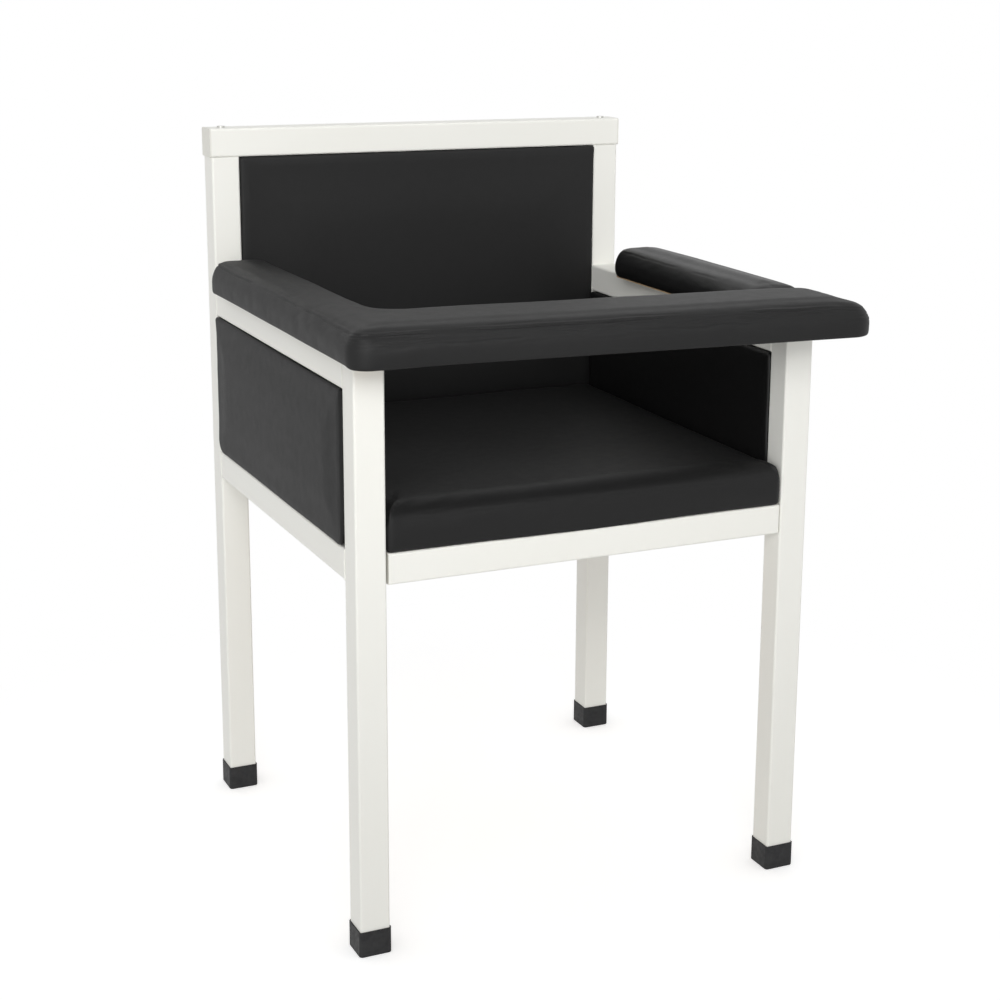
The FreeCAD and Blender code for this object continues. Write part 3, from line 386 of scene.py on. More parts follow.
class Pad:
    """An upholstered pad: rings round its outline, from the board's pocket round the side to the shoulder,
    with a crowned top and the pocket's flat bottom filled in.

    Points are built in the pad's own frame, whose third axis is the pad's height, and a matrix carries them
    to the part's frame. Each point keeps how far round and how far up the side it lies, for the folds."""

    def __init__(self, name, corners, radii, wall, side, crown, crown_run, step):
        self.name = name
        self.step = step
        corners = [Vector(c) for c in corners]
        counts = segment_counts(corners, radii, step, arc_step=step * 0.8)
        base = ring(corners, radii, 0, counts)
        per = len(base)
        lengths = np.hypot(*(np.roll(base, -1, axis=0) - base).T)
        along = np.concatenate([[0], np.cumsum(lengths)[:-1]])
        self.first, self.last = base[0], base[-1]
        self.round_length = lengths.sum()
        self.rows = np.vstack([wall, side])
        self.up = np.concatenate([[0], np.cumsum(np.hypot(*np.diff(self.rows, axis=0).T))])
        self.up -= self.up[len(wall)]
        self.points, self.around, self.upward = [], [], []
        rings = [ring(corners, radii, inset, counts) for inset in self.rows[:, 0]]
        for flat, height, up in zip(rings, self.rows[:, 1], self.up):
            self.add(flat, height, along, up)
        self.faces = []
        for r in range(len(rings) - 1):
            for k in range(per):
                n = (k + 1) % per
                self.faces.append((r * per + k, r * per + n, (r + 1) * per + n, (r + 1) * per + k))
        top_grid = step * 1.35
        bottom_grid = top_grid * 2.2
        top, triangles = filled(rings[-1], top_grid)
        top_inset, top_height = self.rows[-1]
        away = edge_distance(top, base)
        rise = climb(away, top_inset, crown_run - top_inset) * crown
        start = self.add(top, top_height + rise, 0, self.up[-1] + away - top_inset)
        self.cover(triangles, (len(rings) - 1) * per, per, start)
        bottom, triangles = filled(rings[0], bottom_grid)
        start = self.add(bottom, self.rows[0][1], 0, self.up[0])
        self.cover([tuple(reversed(t)) for t in triangles], 0, per, start)

    def add(self, flat, height, around, up):
        """Adds points and returns the first one's number. Each of the rest is one value, or one a point."""
        start = sum(len(points) for points in self.points)
        ones = np.ones(len(flat))
        self.points.append(np.column_stack([flat, height * ones]))
        self.around.append(around * ones)
        self.upward.append(up * ones)
        return start

    def cover(self, triangles, ring_start, per, fill_start):
        """Adds triangles whose numbers count a ring's points first and then those of its filling."""
        for triangle in triangles:
            self.faces.append(tuple(ring_start + i if i < per else fill_start + i - per for i in triangle))

    def level(self, height):
        """How far up the side, along its surface, a height lies."""
        own = self.up >= 0
        return float(np.interp(height, self.rows[own, 1], self.up[own]))

    def mend_round(self, obj):
        """After a subdivision, puts right how far round the points between the last and first column lie.

        They should lie near the whole length round, and the subdivision leaves them about half way round."""
        deepest = 0.06
        mesh = obj.data
        local = vectors(mesh, "co") - np.array(self.matrix.translation)
        local = local @ np.array(self.matrix.to_3x3())
        around = read(mesh, "around")
        tangent = (self.first - self.last) / np.linalg.norm(self.first - self.last)
        offset = local[:, :2] - (self.first + self.last) / 2
        along = offset @ tangent
        wrong = (np.abs(along) < self.step) & (np.abs(offset @ tangent[::-1]) < deepest)
        wrong &= (around > 0.2 * self.round_length) & (around < 0.8 * self.round_length)
        around[wrong] = self.round_length + along[wrong] - self.step / 2
        mesh.attributes["around"].data.foreach_set("value", around)

    def object(self, matrix):
        """The mesh in the part's frame, with how far round and how far up kept as attributes."""
        self.matrix = matrix
        co = np.vstack(self.points) @ np.array(matrix.to_3x3()).T + np.array(matrix.translation)
        mesh = bpy.data.meshes.new(self.name)
        mesh.from_pydata(co.tolist(), [], self.faces)
        upward = np.concatenate(self.upward)
        on_board = upward <= 1e-9
        labels = {"around": np.concatenate(self.around), "up": upward, "held": on_board}
        for label, values in labels.items():
            attribute = mesh.attributes.new(label, "FLOAT", "POINT")
            attribute.data.foreach_set("value", values.astype(np.float32))
        if matrix.determinant() < 0:
            mesh.flip_normals()
        mesh.update()
        obj = bpy.data.objects.new(self.name, mesh)
        bpy.context.scene.collection.objects.link(obj)
        return obj


def read(mesh, label):
    values = np.zeros(len(mesh.vertices), np.float32)
    mesh.attributes[label].data.foreach_get("value", values)
    return values


def vectors(mesh, label):
    """The vertices' places, for "co", or their normals, for "normal", one row each."""
    values = np.zeros(len(mesh.vertices) * 3, np.float32)
    mesh.vertices.foreach_get(label, values)
    return values.reshape(-1, 3).astype(float)


def put(mesh, co):
    mesh.vertices.foreach_set("co", co.astype(np.float32).ravel())
    mesh.update()


def evened(mesh, values, rounds):
    """Averages the values at each vertex with those of its neighbours, a few times over."""
    own_share = 0.4
    ends = np.zeros(len(mesh.edges) * 2, np.int32)
    mesh.edges.foreach_get("vertices", ends)
    a, b = ends.reshape(-1, 2).T
    count = np.bincount(ends, minlength=len(values))[:, None]
    for _ in range(rounds):
        total = np.zeros_like(values)
        np.add.at(total, a, values[b])
        np.add.at(total, b, values[a])
        values = own_share * values + (1 - own_share) * total / count
    return values


def inflate(obj, pressure, cap, slack):
    """Swells a pad with a cloth simulation, its seat on the board held, and limits how far a point moves."""
    frames = 20
    mesh = obj.data
    rest = vectors(mesh, "co")
    held = read(mesh, "held") > 0.5
    group = obj.vertex_groups.new(name="held")
    group.add([int(i) for i in np.nonzero(held)[0]], 1.0, "REPLACE")
    modifier = obj.modifiers.new("swell", "CLOTH")
    settings = modifier.settings
    settings.quality = 4
    settings.mass = 0.25
    settings.tension_stiffness = 18
    settings.compression_stiffness = 12
    settings.shear_stiffness = 8
    settings.bending_stiffness = 1.2
    settings.tension_damping = 12
    settings.air_damping = 4
    settings.use_pressure = True
    settings.uniform_pressure_force = pressure
    settings.shrink_min = -slack
    settings.vertex_group_mass = "held"
    settings.effector_weights.gravity = 0
    modifier.collision_settings.use_collision = False
    scene = bpy.context.scene
    for number in range(1, frames + 1):
        scene.frame_set(number)
    graph = bpy.context.evaluated_depsgraph_get()
    shaped = vectors(obj.evaluated_get(graph).to_mesh(), "co")
    obj.evaluated_get(graph).to_mesh_clear()
    obj.modifiers.remove(modifier)
    obj.vertex_groups.clear()
    scene.frame_set(1)
    move = shaped - rest
    length = np.linalg.norm(move, axis=1)
    soft = cap * np.tanh(length / cap) / np.maximum(length, 1e-9)
    move = evened(mesh, move * soft[:, None], rounds=4)
    put(mesh, rest + move * ~held[:, None])


def subdivide(obj):
    modifier = obj.modifiers.new("finer", "SUBSURF")
    modifier.levels = modifier.render_levels = 1
    modifier.use_limit_surface = False
    modifier.quality = 1
    graph = bpy.context.evaluated_depsgraph_get()
    mesh = bpy.data.meshes.new_from_object(obj.evaluated_get(graph))
    obj.modifiers.clear()
    obj.data = mesh


def undulate(obj, depth, scale, seed):
    """A soft unevenness of the foam under the cover."""
    mesh = obj.data
    co, out = vectors(mesh, "co"), vectors(mesh, "normal")
    free = 1 - read(mesh, "held")
    move = np.array([noise.noise(Vector(c) * scale + Vector((seed, 0, 0))) for c in co]) * depth
    put(mesh, co + out * (move * free)[:, None])


def upholstered(pad, matrix, pressure, cap, slack, bumps, bump_scale, seed):
    """The pad's mesh, swelled, made finer and a little uneven."""
    obj = pad.object(matrix)
    inflate(obj, pressure, cap, slack)
    subdivide(obj)
    pad.mend_round(obj)
    undulate(obj, bumps, bump_scale, seed)
    return obj


def smooth_shade(obj):
    for polygon in obj.data.polygons:
        polygon.use_smooth = True


def paint(obj, material):
    obj.data.materials.clear()
    obj.data.materials.append(material)


def dress(obj, material, body, nodes):
    smooth_shade(obj)
    paint(obj, material)
    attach(obj, body)
    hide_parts(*nodes)


# Folds in the sides of pads

# A fold lies at a level up the side, sways up and down from it, and has a depth and a width. The last number
# says how constant it is: nearly all the way round at 0.5, and in fewer places the lower it is.
Fold = namedtuple("Fold", "level sway depth width constant")

# The lengths of the places where a fold shows, and of its slow and its quick sway.
FOLD_PATCH, SLOW_SWAY, QUICK_SWAY = 0.2, 0.16, 0.04
QUICK_SHARE = 0.25

# The lip above a fold: its place and width in widths of the fold, and its height in depths.
LIP_PLACE, LIP_WIDTH, LIP_HEIGHT = 1.9, 1.3, 0.55


def wave(s, length, around, rng):
    """A random smooth run of about unit size that repeats after going once around."""
    total = np.zeros(len(s))
    cycles = max(1, around / length)
    for share in (0.5, 0.8, 1.3, 2.1):
        number = max(1, round(cycles * share * rng.uniform(0.8, 1.2)))
        total += np.sin(2 * math.pi * number * s / around + rng.uniform(0, 2 * math.pi))
    return total / 2


def press_folds(pad, obj, folds, seed, keep=None):
    """Presses long, wavering folds into the side, each with a soft lip above it. Keep says what share of
    them stays at each point."""
    mesh = obj.data
    co, out = vectors(mesh, "co"), vectors(mesh, "normal")
    s, t = read(mesh, "around"), read(mesh, "up")
    rng = np.random.default_rng(seed)
    move = np.zeros(len(co))
    side = (t > 0) & (t < pad.up[-1])
    for fold in folds:
        slow = wave(s, SLOW_SWAY, pad.round_length, rng)
        quick = wave(s, QUICK_SWAY, pad.round_length, rng)
        patches = wave(s, FOLD_PATCH, pad.round_length, rng)
        away = t - fold.level - fold.sway * (slow + QUICK_SHARE * quick)
        there = climb(0.5 + fold.constant + 0.9 * patches, 0, 1)
        cut = np.exp(-((away / fold.width) ** 2))
        lip = np.exp(-(((away - LIP_PLACE * fold.width) / (LIP_WIDTH * fold.width)) ** 2))
        move += fold.depth * there * (LIP_HEIGHT * lip - cut) * side
    if keep is not None:
        move *= keep(co)
    put(mesh, co + out * move[:, None])


# Shapes that the pads share

VINYL = vinyl("black_vinyl")
SMOOTHER_VINYL = vinyl("smoother_vinyl", rough=(0.43, 0.47))
SEAT_VINYL = vinyl("worn_vinyl", rough=(0.50, 0.54), specular=0.29)
PANEL_VINYL = vinyl("panel_vinyl", specular=0.25)

# The pockets for the boards, in millimetres: how far in their sides lie, how deep they are, and how far in
# the hem under an arm's board reaches.
POCKET_INSET = 6.7
BOARD_POCKET, PANEL_POCKET = 12.3, 6.3
ARM_HEM = 14.5


def rectangle(low_x, low_y, high_x, high_y):
    return [(low_x, low_y), (high_x, low_y), (high_x, high_y), (low_x, high_y)]


def flat_matrix(z):
    return Matrix.Translation((0, 0, z))


def in_mm(rows):
    """Control points given in millimetres, the last number of each a share of the step."""
    return [(inset * MM, height * MM, share) for inset, height, share in rows]


def pocket_wall(depth, hem=0):
    """The inside of the cover: the pocket's side, and the hem folded under the board."""
    rows = [(POCKET_INSET, depth), (POCKET_INSET, depth / 2), (POCKET_INSET, 0.1)]
    if hem:
        rows += [(POCKET_INSET, -0.25), (hem, -0.25), (hem, -0.85), (hem / 2, -0.85)]
    return np.array(rows) * MM


def arm_side(top, draw):
    """Round the drawn-in underside, up the flat face and over the broad soft shoulder of an arm pad."""
    rows = [
        (3.2 + 1.2 * draw, -0.8 + 0.4 * draw, 1.0), (1.3 + draw, -0.2 + 0.9 * draw, 0.7),
        (0.3 + 0.5 * draw, 2.4 + draw, 0.9), (0, 8 + draw, 1.3), (0, 0.38 * top, 0.9),
        (0.8, 0.53 * top, 0.45), (2.6, 0.67 * top, 0.38), (5.2, 0.8 * top, 0.38), (8.4, 0.9 * top, 0.38),
        (13, 0.965 * top, 0.6), (18.5, top, 1.0), (25, top + 0.7, 1.2),
    ]
    return profile(in_mm(rows), step=0.0035)


def arm_pad(name, corners, radii, side, crown, base, bumps, seed):
    """One of the two arm pads before its folds, with its mesh."""
    wall = pocket_wall(BOARD_POCKET, ARM_HEM)
    pad = Pad(name, corners, radii, wall, side, crown, crown_run=0.040, step=0.0045)
    obj = upholstered(
        pad, flat_matrix(base), pressure=3.0, cap=0.0012, slack=0.003, bumps=bumps, bump_scale=9, seed=seed
    )
    return pad, obj


# The flip arm, an L of an arm and a bar whose front edge slants forward to the right

ARM_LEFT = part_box("arm_pad")[0].x
ARM_WIDTH = 0.0845
BAR_FRONT = -0.300
BAR_DEPTH = 0.146
BAR_SLOPE = 46 / 657.1


def bar_front(x):
    return BAR_FRONT - BAR_SLOPE * (x - ARM_LEFT)


def flip_arm_pad():
    low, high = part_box("arm_pad")
    left, right, rear = low.x, high.x, high.y
    inner = left + ARM_WIDTH
    corners = [
        (left, bar_front(left)), (right, bar_front(right)), (right, bar_front(right) + BAR_DEPTH),
        (inner, bar_front(inner) + BAR_DEPTH), (inner, rear), (left, rear),
    ]
    radii = [0.026, 0.030, 0.046, 0.042, 0.026, 0.026]
    side = arm_side(top=41, draw=0)
    pad, obj = arm_pad(
        "flip_arm_pad", corners, radii, side, crown=0.0022, base=low.z, bumps=0.0006, seed=1.7
    )
    level = pad.level(0.0360)
    seam = [Fold(level, 0.0005, 0.0012, 0.0012, 0.5), Fold(level + 0.0060, 0.0010, 0.0002, 0.0016, -0.1)]
    wrinkles = [
        Fold(level - 0.0036, 0.0010, 0.0005, 0.0012, 0.1), Fold(level - 0.0072, 0.0012, 0.0007, 0.0015, 0.1),
        Fold(level - 0.0105, 0.0014, 0.0005, 0.0013, 0.0), Fold(level - 0.0140, 0.0014, 0.0006, 0.0016, 0.0),
        Fold(level - 0.0180, 0.0014, 0.0003, 0.0014, -0.2),
    ]
    press_folds(pad, obj, seam, seed=20, keep=fainter_at_free_end)
    press_folds(pad, obj, wrinkles, seed=24, keep=along_bar_front)
    droop(obj, low.z)
    dress(obj, VINYL, "flip_arm", ["arm_pad"])


def fainter_at_free_end(co):
    return 1 - 0.75 * climb(co[:, 0], 0.20, 0.09)


def along_bar_front(co):
    return 1 - climb(co[:, 1] - bar_front(co[:, 0]), 0.030, 0.03)


def droop(obj, base):
    """Lets the cover hang a little below the board along the bar's front, most of all at its left corner,
    and rounds off the top of its free end."""
    sag, corner_sag, end_drop = 0.0007, 0.0013, 0.0065
    mesh = obj.data
    co = vectors(mesh, "co")
    ahead = 1 - climb(co[:, 1] - bar_front(co[:, 0]), 0.012, 0.02)
    corner = 1 - climb(co[:, 0], -0.30, 0.09)
    lowest = 1 - climb(co[:, 2], base, 0.016)
    co[:, 2] -= (sag + corner_sag * corner) * ahead * lowest
    highest = climb(co[:, 2] - base, 0.012, 0.024)
    co[:, 2] -= end_drop * climb(co[:, 0], 0.25, 0.10) ** 1.5 * highest
    put(mesh, co)


# The right arm

def right_arm_pad():
    low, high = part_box("right_arm_pad")
    corners = rectangle(low.x + 0.002, low.y, high.x, high.y - 0.003)
    radii = [0.012, 0.012, 0.028, 0.030]
    side = arm_side(top=40, draw=2.2)
    pad, obj = arm_pad(
        "right_arm_pad_cover", corners, radii, side, crown=0.0026, base=low.z, bumps=0.0007, seed=5.2
    )
    seam = Fold(pad.level(0.0365), 0.0006, 0.0003, 0.0016, 0.2)
    press_folds(pad, obj, [seam], seed=21)
    dress(obj, SMOOTHER_VINYL, "frame", ["right_arm_pad"])


# The seat

SEAT_SIDE = [(4.2, 0, 1.0), (1.4, 0.0, 0.7), (0.3, 2.5, 0.9), (0, 9, 1.3), (-0.4, 22, 1.1)]
SEAT_SHOULDER = [
    (0, 32, 0.8), (1.6, 39, 0.5), (4.8, 44.7, 0.4), (9.8, 49.2, 0.4), (15, 52.6, 0.5), (21, 55, 0.6),
    (28, 56, 0.8),
]
SEAT_TOP = [(38, 56.2, 1.2)]

# The heights of the shoulder's control points beside the side panels.
TIGHT_SHOULDER = [32, 42.5, 49.2, 53.4, 55.2, 55.8, 56]


def seat_cushion():
    low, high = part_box("seat_cushion")
    middle, half = (low.x + high.x) / 2, (high.x - low.x) / 2
    corners = rectangle(low.x, low.y, high.x, high.y)
    side = profile(in_mm(SEAT_SIDE + SEAT_SHOULDER + SEAT_TOP), step=0.004)
    wall = pocket_wall(BOARD_POCKET)
    radii = [0.008] * 4
    pad = Pad("seat_cushion_cover", corners, radii, wall, side, crown=0.0006, crown_run=0.13, step=0.0055)
    obj = upholstered(
        pad, flat_matrix(low.z), pressure=2.5, cap=0.0015, slack=0.003, bumps=0.0010, bump_scale=6, seed=3.4
    )
    level = pad.level(0.0392)
    wrinkles = [
        Fold(level, 0.0014, 0.0003, 0.0017, 0.2), Fold(level - 0.0048, 0.0014, 0.0002, 0.0015, 0.0),
        Fold(level + 0.0065, 0.0020, 0.0002, 0.0020, -0.1),
    ]

    def away_from_legs(co):
        return 1 - climb(np.abs(co[:, 0] - middle) - half, -0.06, 0.04)

    press_folds(pad, obj, wrinkles, seed=22, keep=away_from_legs)
    fill_between_legs(obj, low, middle, half)
    tighten_sides(obj, low, high)
    hollow(obj, (middle, low.y + 0.27), reach=(0.16, 0.15), depth=0.007, above=low.z + 0.03)
    hollow(obj, (low.x + 0.02, low.y + 0.18), reach=(0.09, 0.09), depth=0.010, above=low.z + 0.03)
    dress(obj, SEAT_VINYL, "frame", ["seat_cushion"])


def fill_between_legs(obj, low, middle, half):
    """Widens the cushion's front to the legs, and lets its lower front edge sag over the rail."""
    widening, most_sag = 0.0029, 0.0026
    mesh = obj.data
    co = vectors(mesh, "co")
    ahead = 1 - climb(co[:, 1] - low.y, 0.030, 0.008)
    beside = climb(np.abs(co[:, 0] - middle) - half, -0.03, 0.03)
    co[:, 0] += np.sign(co[:, 0] - middle) * widening * ahead * beside
    outside = 1 - climb(co[:, 1] - low.y, 0.0004, 0.0018)
    lowest = 1 - climb(co[:, 2], low.z, 0.018)
    sag = most_sag * (1 - ((co[:, 0] - middle) / half) ** 2).clip(0, 1)
    co[:, 2] -= sag * outside * lowest
    put(mesh, co)


def tighten_sides(obj, low, high):
    """Gives the cushion's sides a tighter shoulder than its front, as they press against the side panels."""
    inset, broad, _ = np.array(in_mm(SEAT_SHOULDER)).T
    tight = np.array(TIGHT_SHOULDER) * MM
    mesh = obj.data
    co = vectors(mesh, "co")
    beside = (high.x - low.x) / 2 - np.abs(co[:, 0] - (low.x + high.x) / 2)
    ahead = np.minimum(co[:, 1] - low.y, high.y - co[:, 1])
    rounded = np.interp(ahead, inset, broad)
    is_now = np.minimum(np.interp(beside, inset, broad), rounded)
    wanted = np.minimum(np.interp(beside, inset, tight), rounded)
    co[:, 2] += (wanted - is_now) * climb(co[:, 2] - low.z, 0.026, 0.010)
    put(mesh, co)


def hollow(obj, centre, reach, depth, above):
    """A soft dip worn into the top of the cushion."""
    mesh = obj.data
    co = vectors(mesh, "co")
    away = np.hypot((co[:, 0] - centre[0]) / reach[0], (co[:, 1] - centre[1]) / reach[1])
    co[:, 2] -= depth * np.exp(-(away ** 2)) * climb(co[:, 2], above, 0.015)
    put(mesh, co)


# The panels of the back and the sides

# How far a cover reaches past its board: on each side, below and above.
SIDE_LAP, LOWER_LAP, UPPER_LAP = 0.0007, 0.0010, 0.0014

BACK_RADII = [0.004] * 4
SIDE_RADII = [0.020, 0.020, 0.005, 0.005]


def panel_side(thick):
    """Round the drawn-in edge at the board and over the tight shoulder of a pad so many millimetres thick."""
    rows = [
        (4.2, 0, 1.0), (1.4, 0.3, 0.7), (0.3, 2.5, 0.9), (0, 0.35 * thick, 1.2), (0, 0.62 * thick, 0.8),
        (-0.5, 0.8 * thick, 0.4), (-0.5, 0.89 * thick, 0.3), (0.7, 0.965 * thick, 0.35), (3.0, thick, 0.6),
        (6, thick + 0.15, 0.9), (11, thick + 0.4, 1.2),
    ]
    return profile(in_mm(rows), step=0.0032)


def panel_pad(name, node, facing, radii, crown, run, material, seed):
    """A pad on one face of a panel; facing is its outward direction."""
    low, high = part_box(node)
    out = Vector(facing)
    up = Vector((0, 0, 1))
    across = up.cross(out)
    width = abs(across.dot(high - low))
    tall = high.z - low.z
    whole = abs(out.dot(high - low))
    matrix = Matrix((across, up, out)).transposed().to_4x4()
    matrix.translation = (low + high) / 2 - out * (whole / 2)
    half_width = width / 2 + SIDE_LAP
    corners = rectangle(-half_width, -tall / 2 - LOWER_LAP, half_width, tall / 2 + UPPER_LAP)
    side = panel_side((whole - crown) / MM)
    pad = Pad(name, corners, radii, pocket_wall(PANEL_POCKET), side, crown, run, step=0.0065)
    obj = upholstered(
        pad, matrix, pressure=1.6, cap=0.0007, slack=0.004, bumps=0.0006, bump_scale=7, seed=seed
    )
    dress(obj, material, "frame", [node])


def back_pads():
    for face, facing, crown, seed in ("front", -1, 0.0030, 21.0), ("rear", 1, 0.0026, 23.0):
        panel_pad(
            "back_" + face + "_cover", "back_pad_" + face, (0, facing, 0), BACK_RADII,
            crown=crown, run=0.095, material=VINYL, seed=seed,
        )


def side_pads():
    for side, out, seed in ("left", -1, 25.0), ("right", 1, 29.0):
        panel_pad(
            side + "_outer_cover", side + "_side_pad_outer", (out, 0, 0), SIDE_RADII,
            crown=0.0026, run=0.06, material=PANEL_VINYL, seed=seed,
        )
        panel_pad(
            side + "_inner_cover", side + "_side_pad_inner", (-out, 0, 0), SIDE_RADII,
            crown=0.0006, run=0.042, material=SMOOTHER_VINYL, seed=seed + 2,
        )


flip_arm_pad()
right_arm_pad()
seat_cushion()
back_pads()
side_pads()


# Small parts: welds and staples

SECTION_SIDES = 8

# A weld bead, how deep its middle lies in the tube's face, and the rounding of the tube's corners.
BEAD_RADIUS, BEAD_SUNK, TUBE_CORNER = 0.0013, 0.0002, 0.003

# A staple: half its length, how far its ends bend up, and half the width and height of its wire.
STAPLE_HALF, STAPLE_BEND = 0.0052, 0.0006
WIRE_HALF_WIDTH, WIRE_HALF_HEIGHT = 0.00055, 0.0003


def section(centre, across, up):
    """The points of a wire's section, an ellipse with these two half axes."""
    angles = [2 * math.pi * k / SECTION_SIDES for k in range(SECTION_SIDES)]
    return [centre + across * math.cos(angle) + up * math.sin(angle) for angle in angles]


def wire_faces(start, count, closed):
    """Quads between a wire's sections, and the ends of one that isn't closed."""
    sides = SECTION_SIDES
    faces = []
    for i in range(count if closed else count - 1):
        here, there = start + i * sides, start + (i + 1) % count * sides
        for k in range(sides):
            m = (k + 1) % sides
            faces.append((here + k, there + k, there + m, here + m))
    if not closed:
        last = start + (count - 1) * sides
        faces.append(tuple(start + k for k in reversed(range(sides))))
        faces.append(tuple(last + k for k in range(sides)))
    return faces


def new_object(name, verts, faces, material, body):
    mesh = bpy.data.meshes.new(name)
    mesh.from_pydata([tuple(v) for v in verts], [], faces)
    mesh.validate()
    mesh.update()
    obj = bpy.data.objects.new(name, mesh)
    bpy.context.scene.collection.objects.link(obj)
    smooth_shade(obj)
    paint(obj, material)
    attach(obj, body)


def bead_ring(centre, half, seed):
    """A weld bead round the end of a square tube: a thin rippled cord on the corner where two tubes meet."""
    rng = np.random.default_rng(seed)
    corners = [Vector(c) for c in rectangle(-half, -half, half, half)]
    per_side, per_corner = 24, 4
    path = ring(corners, [TUBE_CORNER] * 4, 0, [(per_side, per_corner)] * 4)
    middle = path.mean(0)
    rows = []
    for i, point in enumerate(path):
        ripple = 0.16 * math.sin(i * 1.9) + 0.12 * rng.standard_normal()
        size = BEAD_RADIUS * (1 + ripple)
        outward = Vector(point - middle).normalized()
        place = centre + Vector((point[0], 0, point[1]))
        rows.append(section(place, Vector((outward.x, 0, outward.y)) * size, Vector((0, size, 0))))
    return rows


def weld_beads(material):
    """Beads where the rails end on the legs and uprights. The left arm rail's front end, beside which the
    flip arm folds down, is ground flush."""
    verts, faces = [], []
    ends = []
    for name in ("left_arm_rail", "right_arm_rail", "left_lower_rail", "right_lower_rail"):
        low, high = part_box(name)
        x, z = (low.x + high.x) / 2, (low.z + high.z) / 2
        ends += [(Vector((x, y, z)), (high.x - low.x) / 2) for y in (low.y, high.y)]
    for seed, (centre, half) in enumerate(ends[1:]):
        rows = bead_ring(centre, half - BEAD_SUNK, seed)
        faces += wire_faces(len(verts), len(rows), closed=True)
        verts += [p for row in rows for p in row]
    new_object("weld_beads", verts, faces, material, "frame")


def staple_spots():
    """Where the staples sit under the flip arm, as (x, y, slope of the staple): across the bar's free end,
    along the arm's inner edge, and along the bar's front and rear edges."""
    steep = 9.0
    apart = 0.028
    free_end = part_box("arm_underside_cover")[1].x - 0.003
    inner_edge = ARM_LEFT + 0.0675
    front_edge, rear_edge = 0.0172, 0.1290
    spots = [(free_end, y, steep) for y in np.arange(BAR_FRONT, -0.245, 0.024)]
    spots += [(inner_edge, y, steep) for y in np.arange(-0.11, 0.24, apart)]
    for x in np.arange(-0.25, 0.29, apart):
        spots.append((x, bar_front(x) + front_edge, -BAR_SLOPE))
        if -0.19 < x < 0.25:
            spots.append((x, bar_front(x) + rear_edge, -BAR_SLOPE))
    return spots


def staples(material):
    """Wire staples that hold the cloth to the underside of the flip arm. Their ends bend up into it."""
    wire_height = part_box("arm_underside_cover")[0].z - 0.0002
    askew = 0.12
    straight_share = 0.75
    verts, faces = [], []
    rng = np.random.default_rng(9)
    up = Vector((0, 0, 1))
    for x, y, slope in staple_spots():
        turn = math.atan(slope) + askew * rng.standard_normal()
        along = Vector((math.cos(turn), math.sin(turn), 0))
        across = Vector((-along.y, along.x, 0))
        centre = Vector((x, y, wire_height))
        rows = []
        for t in np.linspace(-1, 1, 9):
            bend = STAPLE_BEND * max(0, abs(t) - straight_share) / (1 - straight_share)
            place = centre + along * (STAPLE_HALF * t) + up * bend
            rows.append(section(place, across * WIRE_HALF_WIDTH, up * WIRE_HALF_HEIGHT))
        faces += wire_faces(len(verts), len(rows), closed=False)
        verts += [p for row in rows for p in row]
    new_object("underside_staples", verts, faces, material, "flip_arm")


COAT = powder_coat()
ZINC = zinc_plate()
weld_beads(COAT)
staples(ZINC)


# The CAD's own solids, painted

RUBBER = black_rubber()
FINISHES = {
    "frame_paint": COAT,
    "foot_rubber": RUBBER,
    "bumper_rubber": RUBBER,
    "white_plugs": moulded_plastic("off_white_plastic", (0.8, 0.79, 0.73)),
    "zinc_inserts": ZINC,
    "zinc_screws": ZINC,
    "hinge_steel": brushed_strip(),
    "spacer_plastic": moulded_plastic("black_nylon", (0.015, 0.015, 0.016)),
    "plywood": birch_plywood(),
    "underside_cloth": dust_cloth(),
}
for entry in frame["record"]["subparts"]:
    node = frame["nodes"][entry["node"]]
    if entry["material_slot"] in FINISHES and not node.hide_render:
        paint(node, FINISHES[entry["material_slot"]])


# Floor, light and camera

SOFT_LIGHT = 0.64
FLOOR_GREY = (0.86, 0.86, 0.86, 1)
FLOOR_LIFT = 0.46
FLOOR_REACH = 30.0
SHADOW_REACH, WHITE_BEYOND = 0.5, 1.0


def seen_rays(tree):
    """One for the rays that show the background: camera, glossy and transmission rays."""
    path = tree.nodes.new("ShaderNodeLightPath")
    value = path.outputs["Is Camera Ray"]
    for name in ("Is Glossy Ray", "Is Transmission Ray"):
        value = larger(tree, value, path.outputs[name])
    return value


def mixed(tree, fac, first, second):
    node = tree.nodes.new("ShaderNodeMixShader")
    tree.links.new(fac, node.inputs["Fac"])
    tree.links.new(first, node.inputs[1])
    tree.links.new(second, node.inputs[2])
    return node.outputs["Shader"]


def white_surround():
    """The world: soft white light all round, and plain white behind the chair."""
    world = bpy.data.worlds.new("studio")
    bpy.context.scene.world = world
    world.use_nodes = True
    tree = world.node_tree
    light = tree.nodes["Background"]
    light.inputs["Color"].default_value = (1, 1, 1, 1)
    light.inputs["Strength"].default_value = SOFT_LIGHT
    white = tree.nodes.new("ShaderNodeBackground")
    white.inputs["Color"].default_value = (1, 1, 1, 1)
    white.inputs["Strength"].default_value = 1.0
    shown = mixed(tree, seen_rays(tree), light.outputs["Background"], white.outputs["Background"])
    tree.links.new(shown, tree.nodes["World Output"].inputs["Surface"])


def glow(tree, strength):
    node = tree.nodes.new("ShaderNodeEmission")
    node.inputs["Strength"].default_value = strength
    return node.outputs["Emission"]


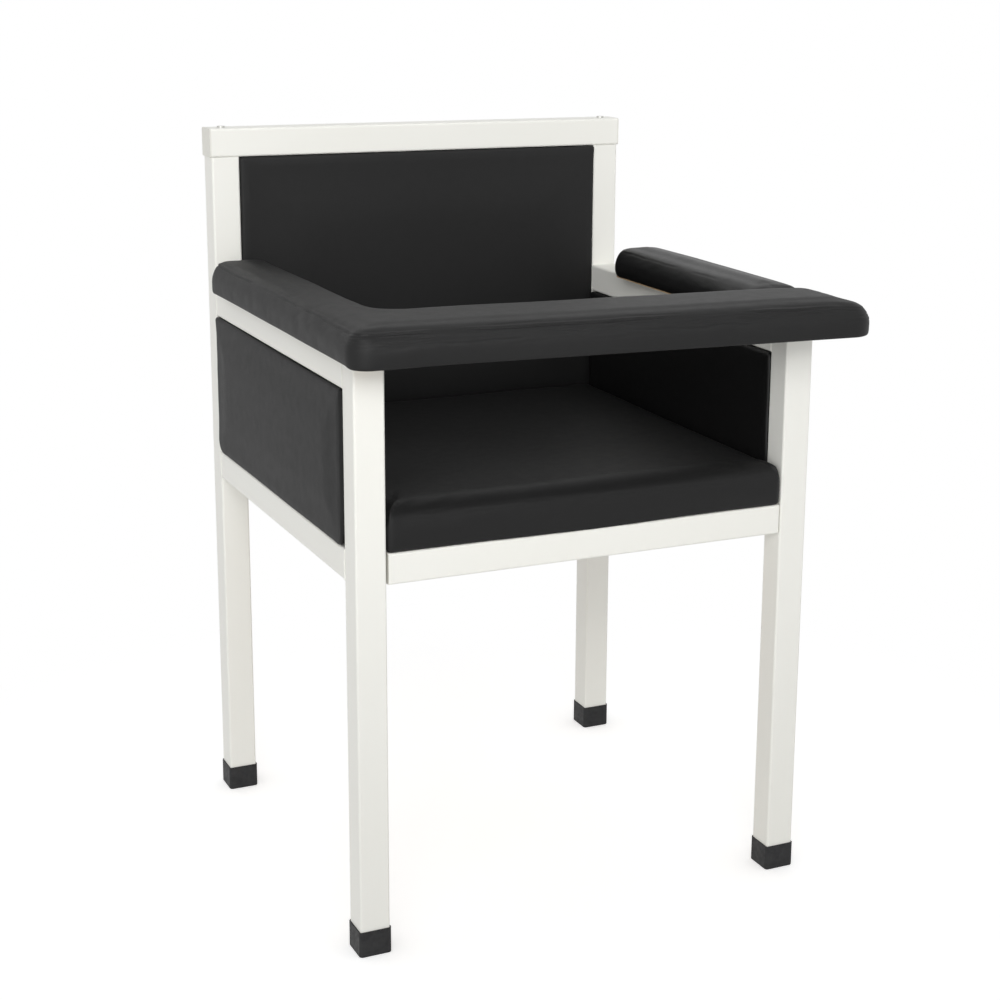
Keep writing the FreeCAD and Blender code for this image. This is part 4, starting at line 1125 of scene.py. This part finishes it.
def away_from_chair(tree):
    """Rises from 0 at the reach of the shadow to 1 where the floor is plain white."""
    place = tree.nodes.new("ShaderNodeTexCoord")
    length = tree.nodes.new("ShaderNodeVectorMath")
    length.operation = "LENGTH"
    tree.links.new(place.outputs["Object"], length.inputs[0])
    fade = tree.nodes.new("ShaderNodeMapRange")
    fade.interpolation_type = "SMOOTHSTEP"
    fade.inputs["From Min"].default_value = SHADOW_REACH
    fade.inputs["From Max"].default_value = WHITE_BEYOND
    tree.links.new(length.outputs["Value"], fade.inputs["Value"])
    return fade.outputs["Result"]


def floor_material():
    material = bpy.data.materials.new("pale_floor")
    material.use_nodes = True
    tree = material.node_tree
    tree.nodes.remove(tree.nodes["Principled BSDF"])
    matte = tree.nodes.new("ShaderNodeBsdfDiffuse")
    matte.inputs["Color"].default_value = FLOOR_GREY
    lit = tree.nodes.new("ShaderNodeAddShader")
    tree.links.new(matte.outputs["BSDF"], lit.inputs[0])
    tree.links.new(glow(tree, FLOOR_LIFT), lit.inputs[1])
    shown = mixed(tree, away_from_chair(tree), lit.outputs["Shader"], glow(tree, 1.0))
    surface = mixed(tree, seen_rays(tree), matte.outputs["BSDF"], shown)
    tree.links.new(surface, tree.nodes["Material Output"].inputs["Surface"])
    return material


def pale_floor():
    """A matte floor that keeps the chair's soft shadow near it and is plain white further off."""
    mesh = bpy.data.meshes.new("studio_floor")
    corners = rectangle(-FLOOR_REACH, -FLOOR_REACH, FLOOR_REACH, FLOOR_REACH)
    mesh.from_pydata([(x, y, 0) for x, y in corners], [], [(0, 1, 2, 3)])
    floor = bpy.data.objects.new("studio_floor", mesh)
    bpy.context.scene.collection.objects.link(floor)
    mesh.materials.append(floor_material())


def soft_lamp(name, place, target, size, power, spread=math.pi):
    data = bpy.data.lights.new(name, "AREA")
    data.shape = "RECTANGLE"
    data.size, data.size_y = size
    data.energy = power
    data.spread = spread
    lamp = bpy.data.objects.new(name, data)
    bpy.context.scene.collection.objects.link(lamp)
    lamp.location = place
    lamp.rotation_euler = (Vector(target) - Vector(place)).to_track_quat("-Z", "Y").to_euler()


def photo_camera():
    """The camera fitted to the photograph's edges."""
    place = Vector((-1.03733, -2.28065, 1.17833))
    yaw, pitch, roll = 0.45584, -0.24452, 0.01306
    forward = Vector((math.sin(yaw) * math.cos(pitch), math.cos(yaw) * math.cos(pitch), math.sin(pitch)))
    right = Vector((math.cos(yaw), -math.sin(yaw), 0))
    up = right.cross(forward)
    side = right * math.cos(roll) + up * math.sin(roll)
    over = up * math.cos(roll) - right * math.sin(roll)
    data = bpy.data.cameras.new("photo_camera")
    data.sensor_width = 36
    data.lens = 70.741
    data.shift_x = -0.068263
    data.shift_y = -0.05414
    data.clip_start, data.clip_end = 0.1, 100
    camera = bpy.data.objects.new("photo_camera", data)
    bpy.context.scene.collection.objects.link(camera)
    matrix = Matrix((side, over, -forward)).transposed().to_4x4()
    matrix.translation = place
    camera.matrix_world = matrix
    bpy.context.scene.camera = camera


white_surround()
pale_floor()
soft_lamp("key_lamp", place=(-3.4, -4.6, 1.3), target=(0, 0, 0.7), size=(3.4, 2.7), power=62)
soft_lamp(
    "upper_lamp", place=(-0.7, -1.8, 1.65), target=(0, 0.2, 0.9), size=(1.3, 0.8), power=3.1, spread=1.1
)
photo_camera()
bpy.context.scene.view_settings.view_transform = "Standard"
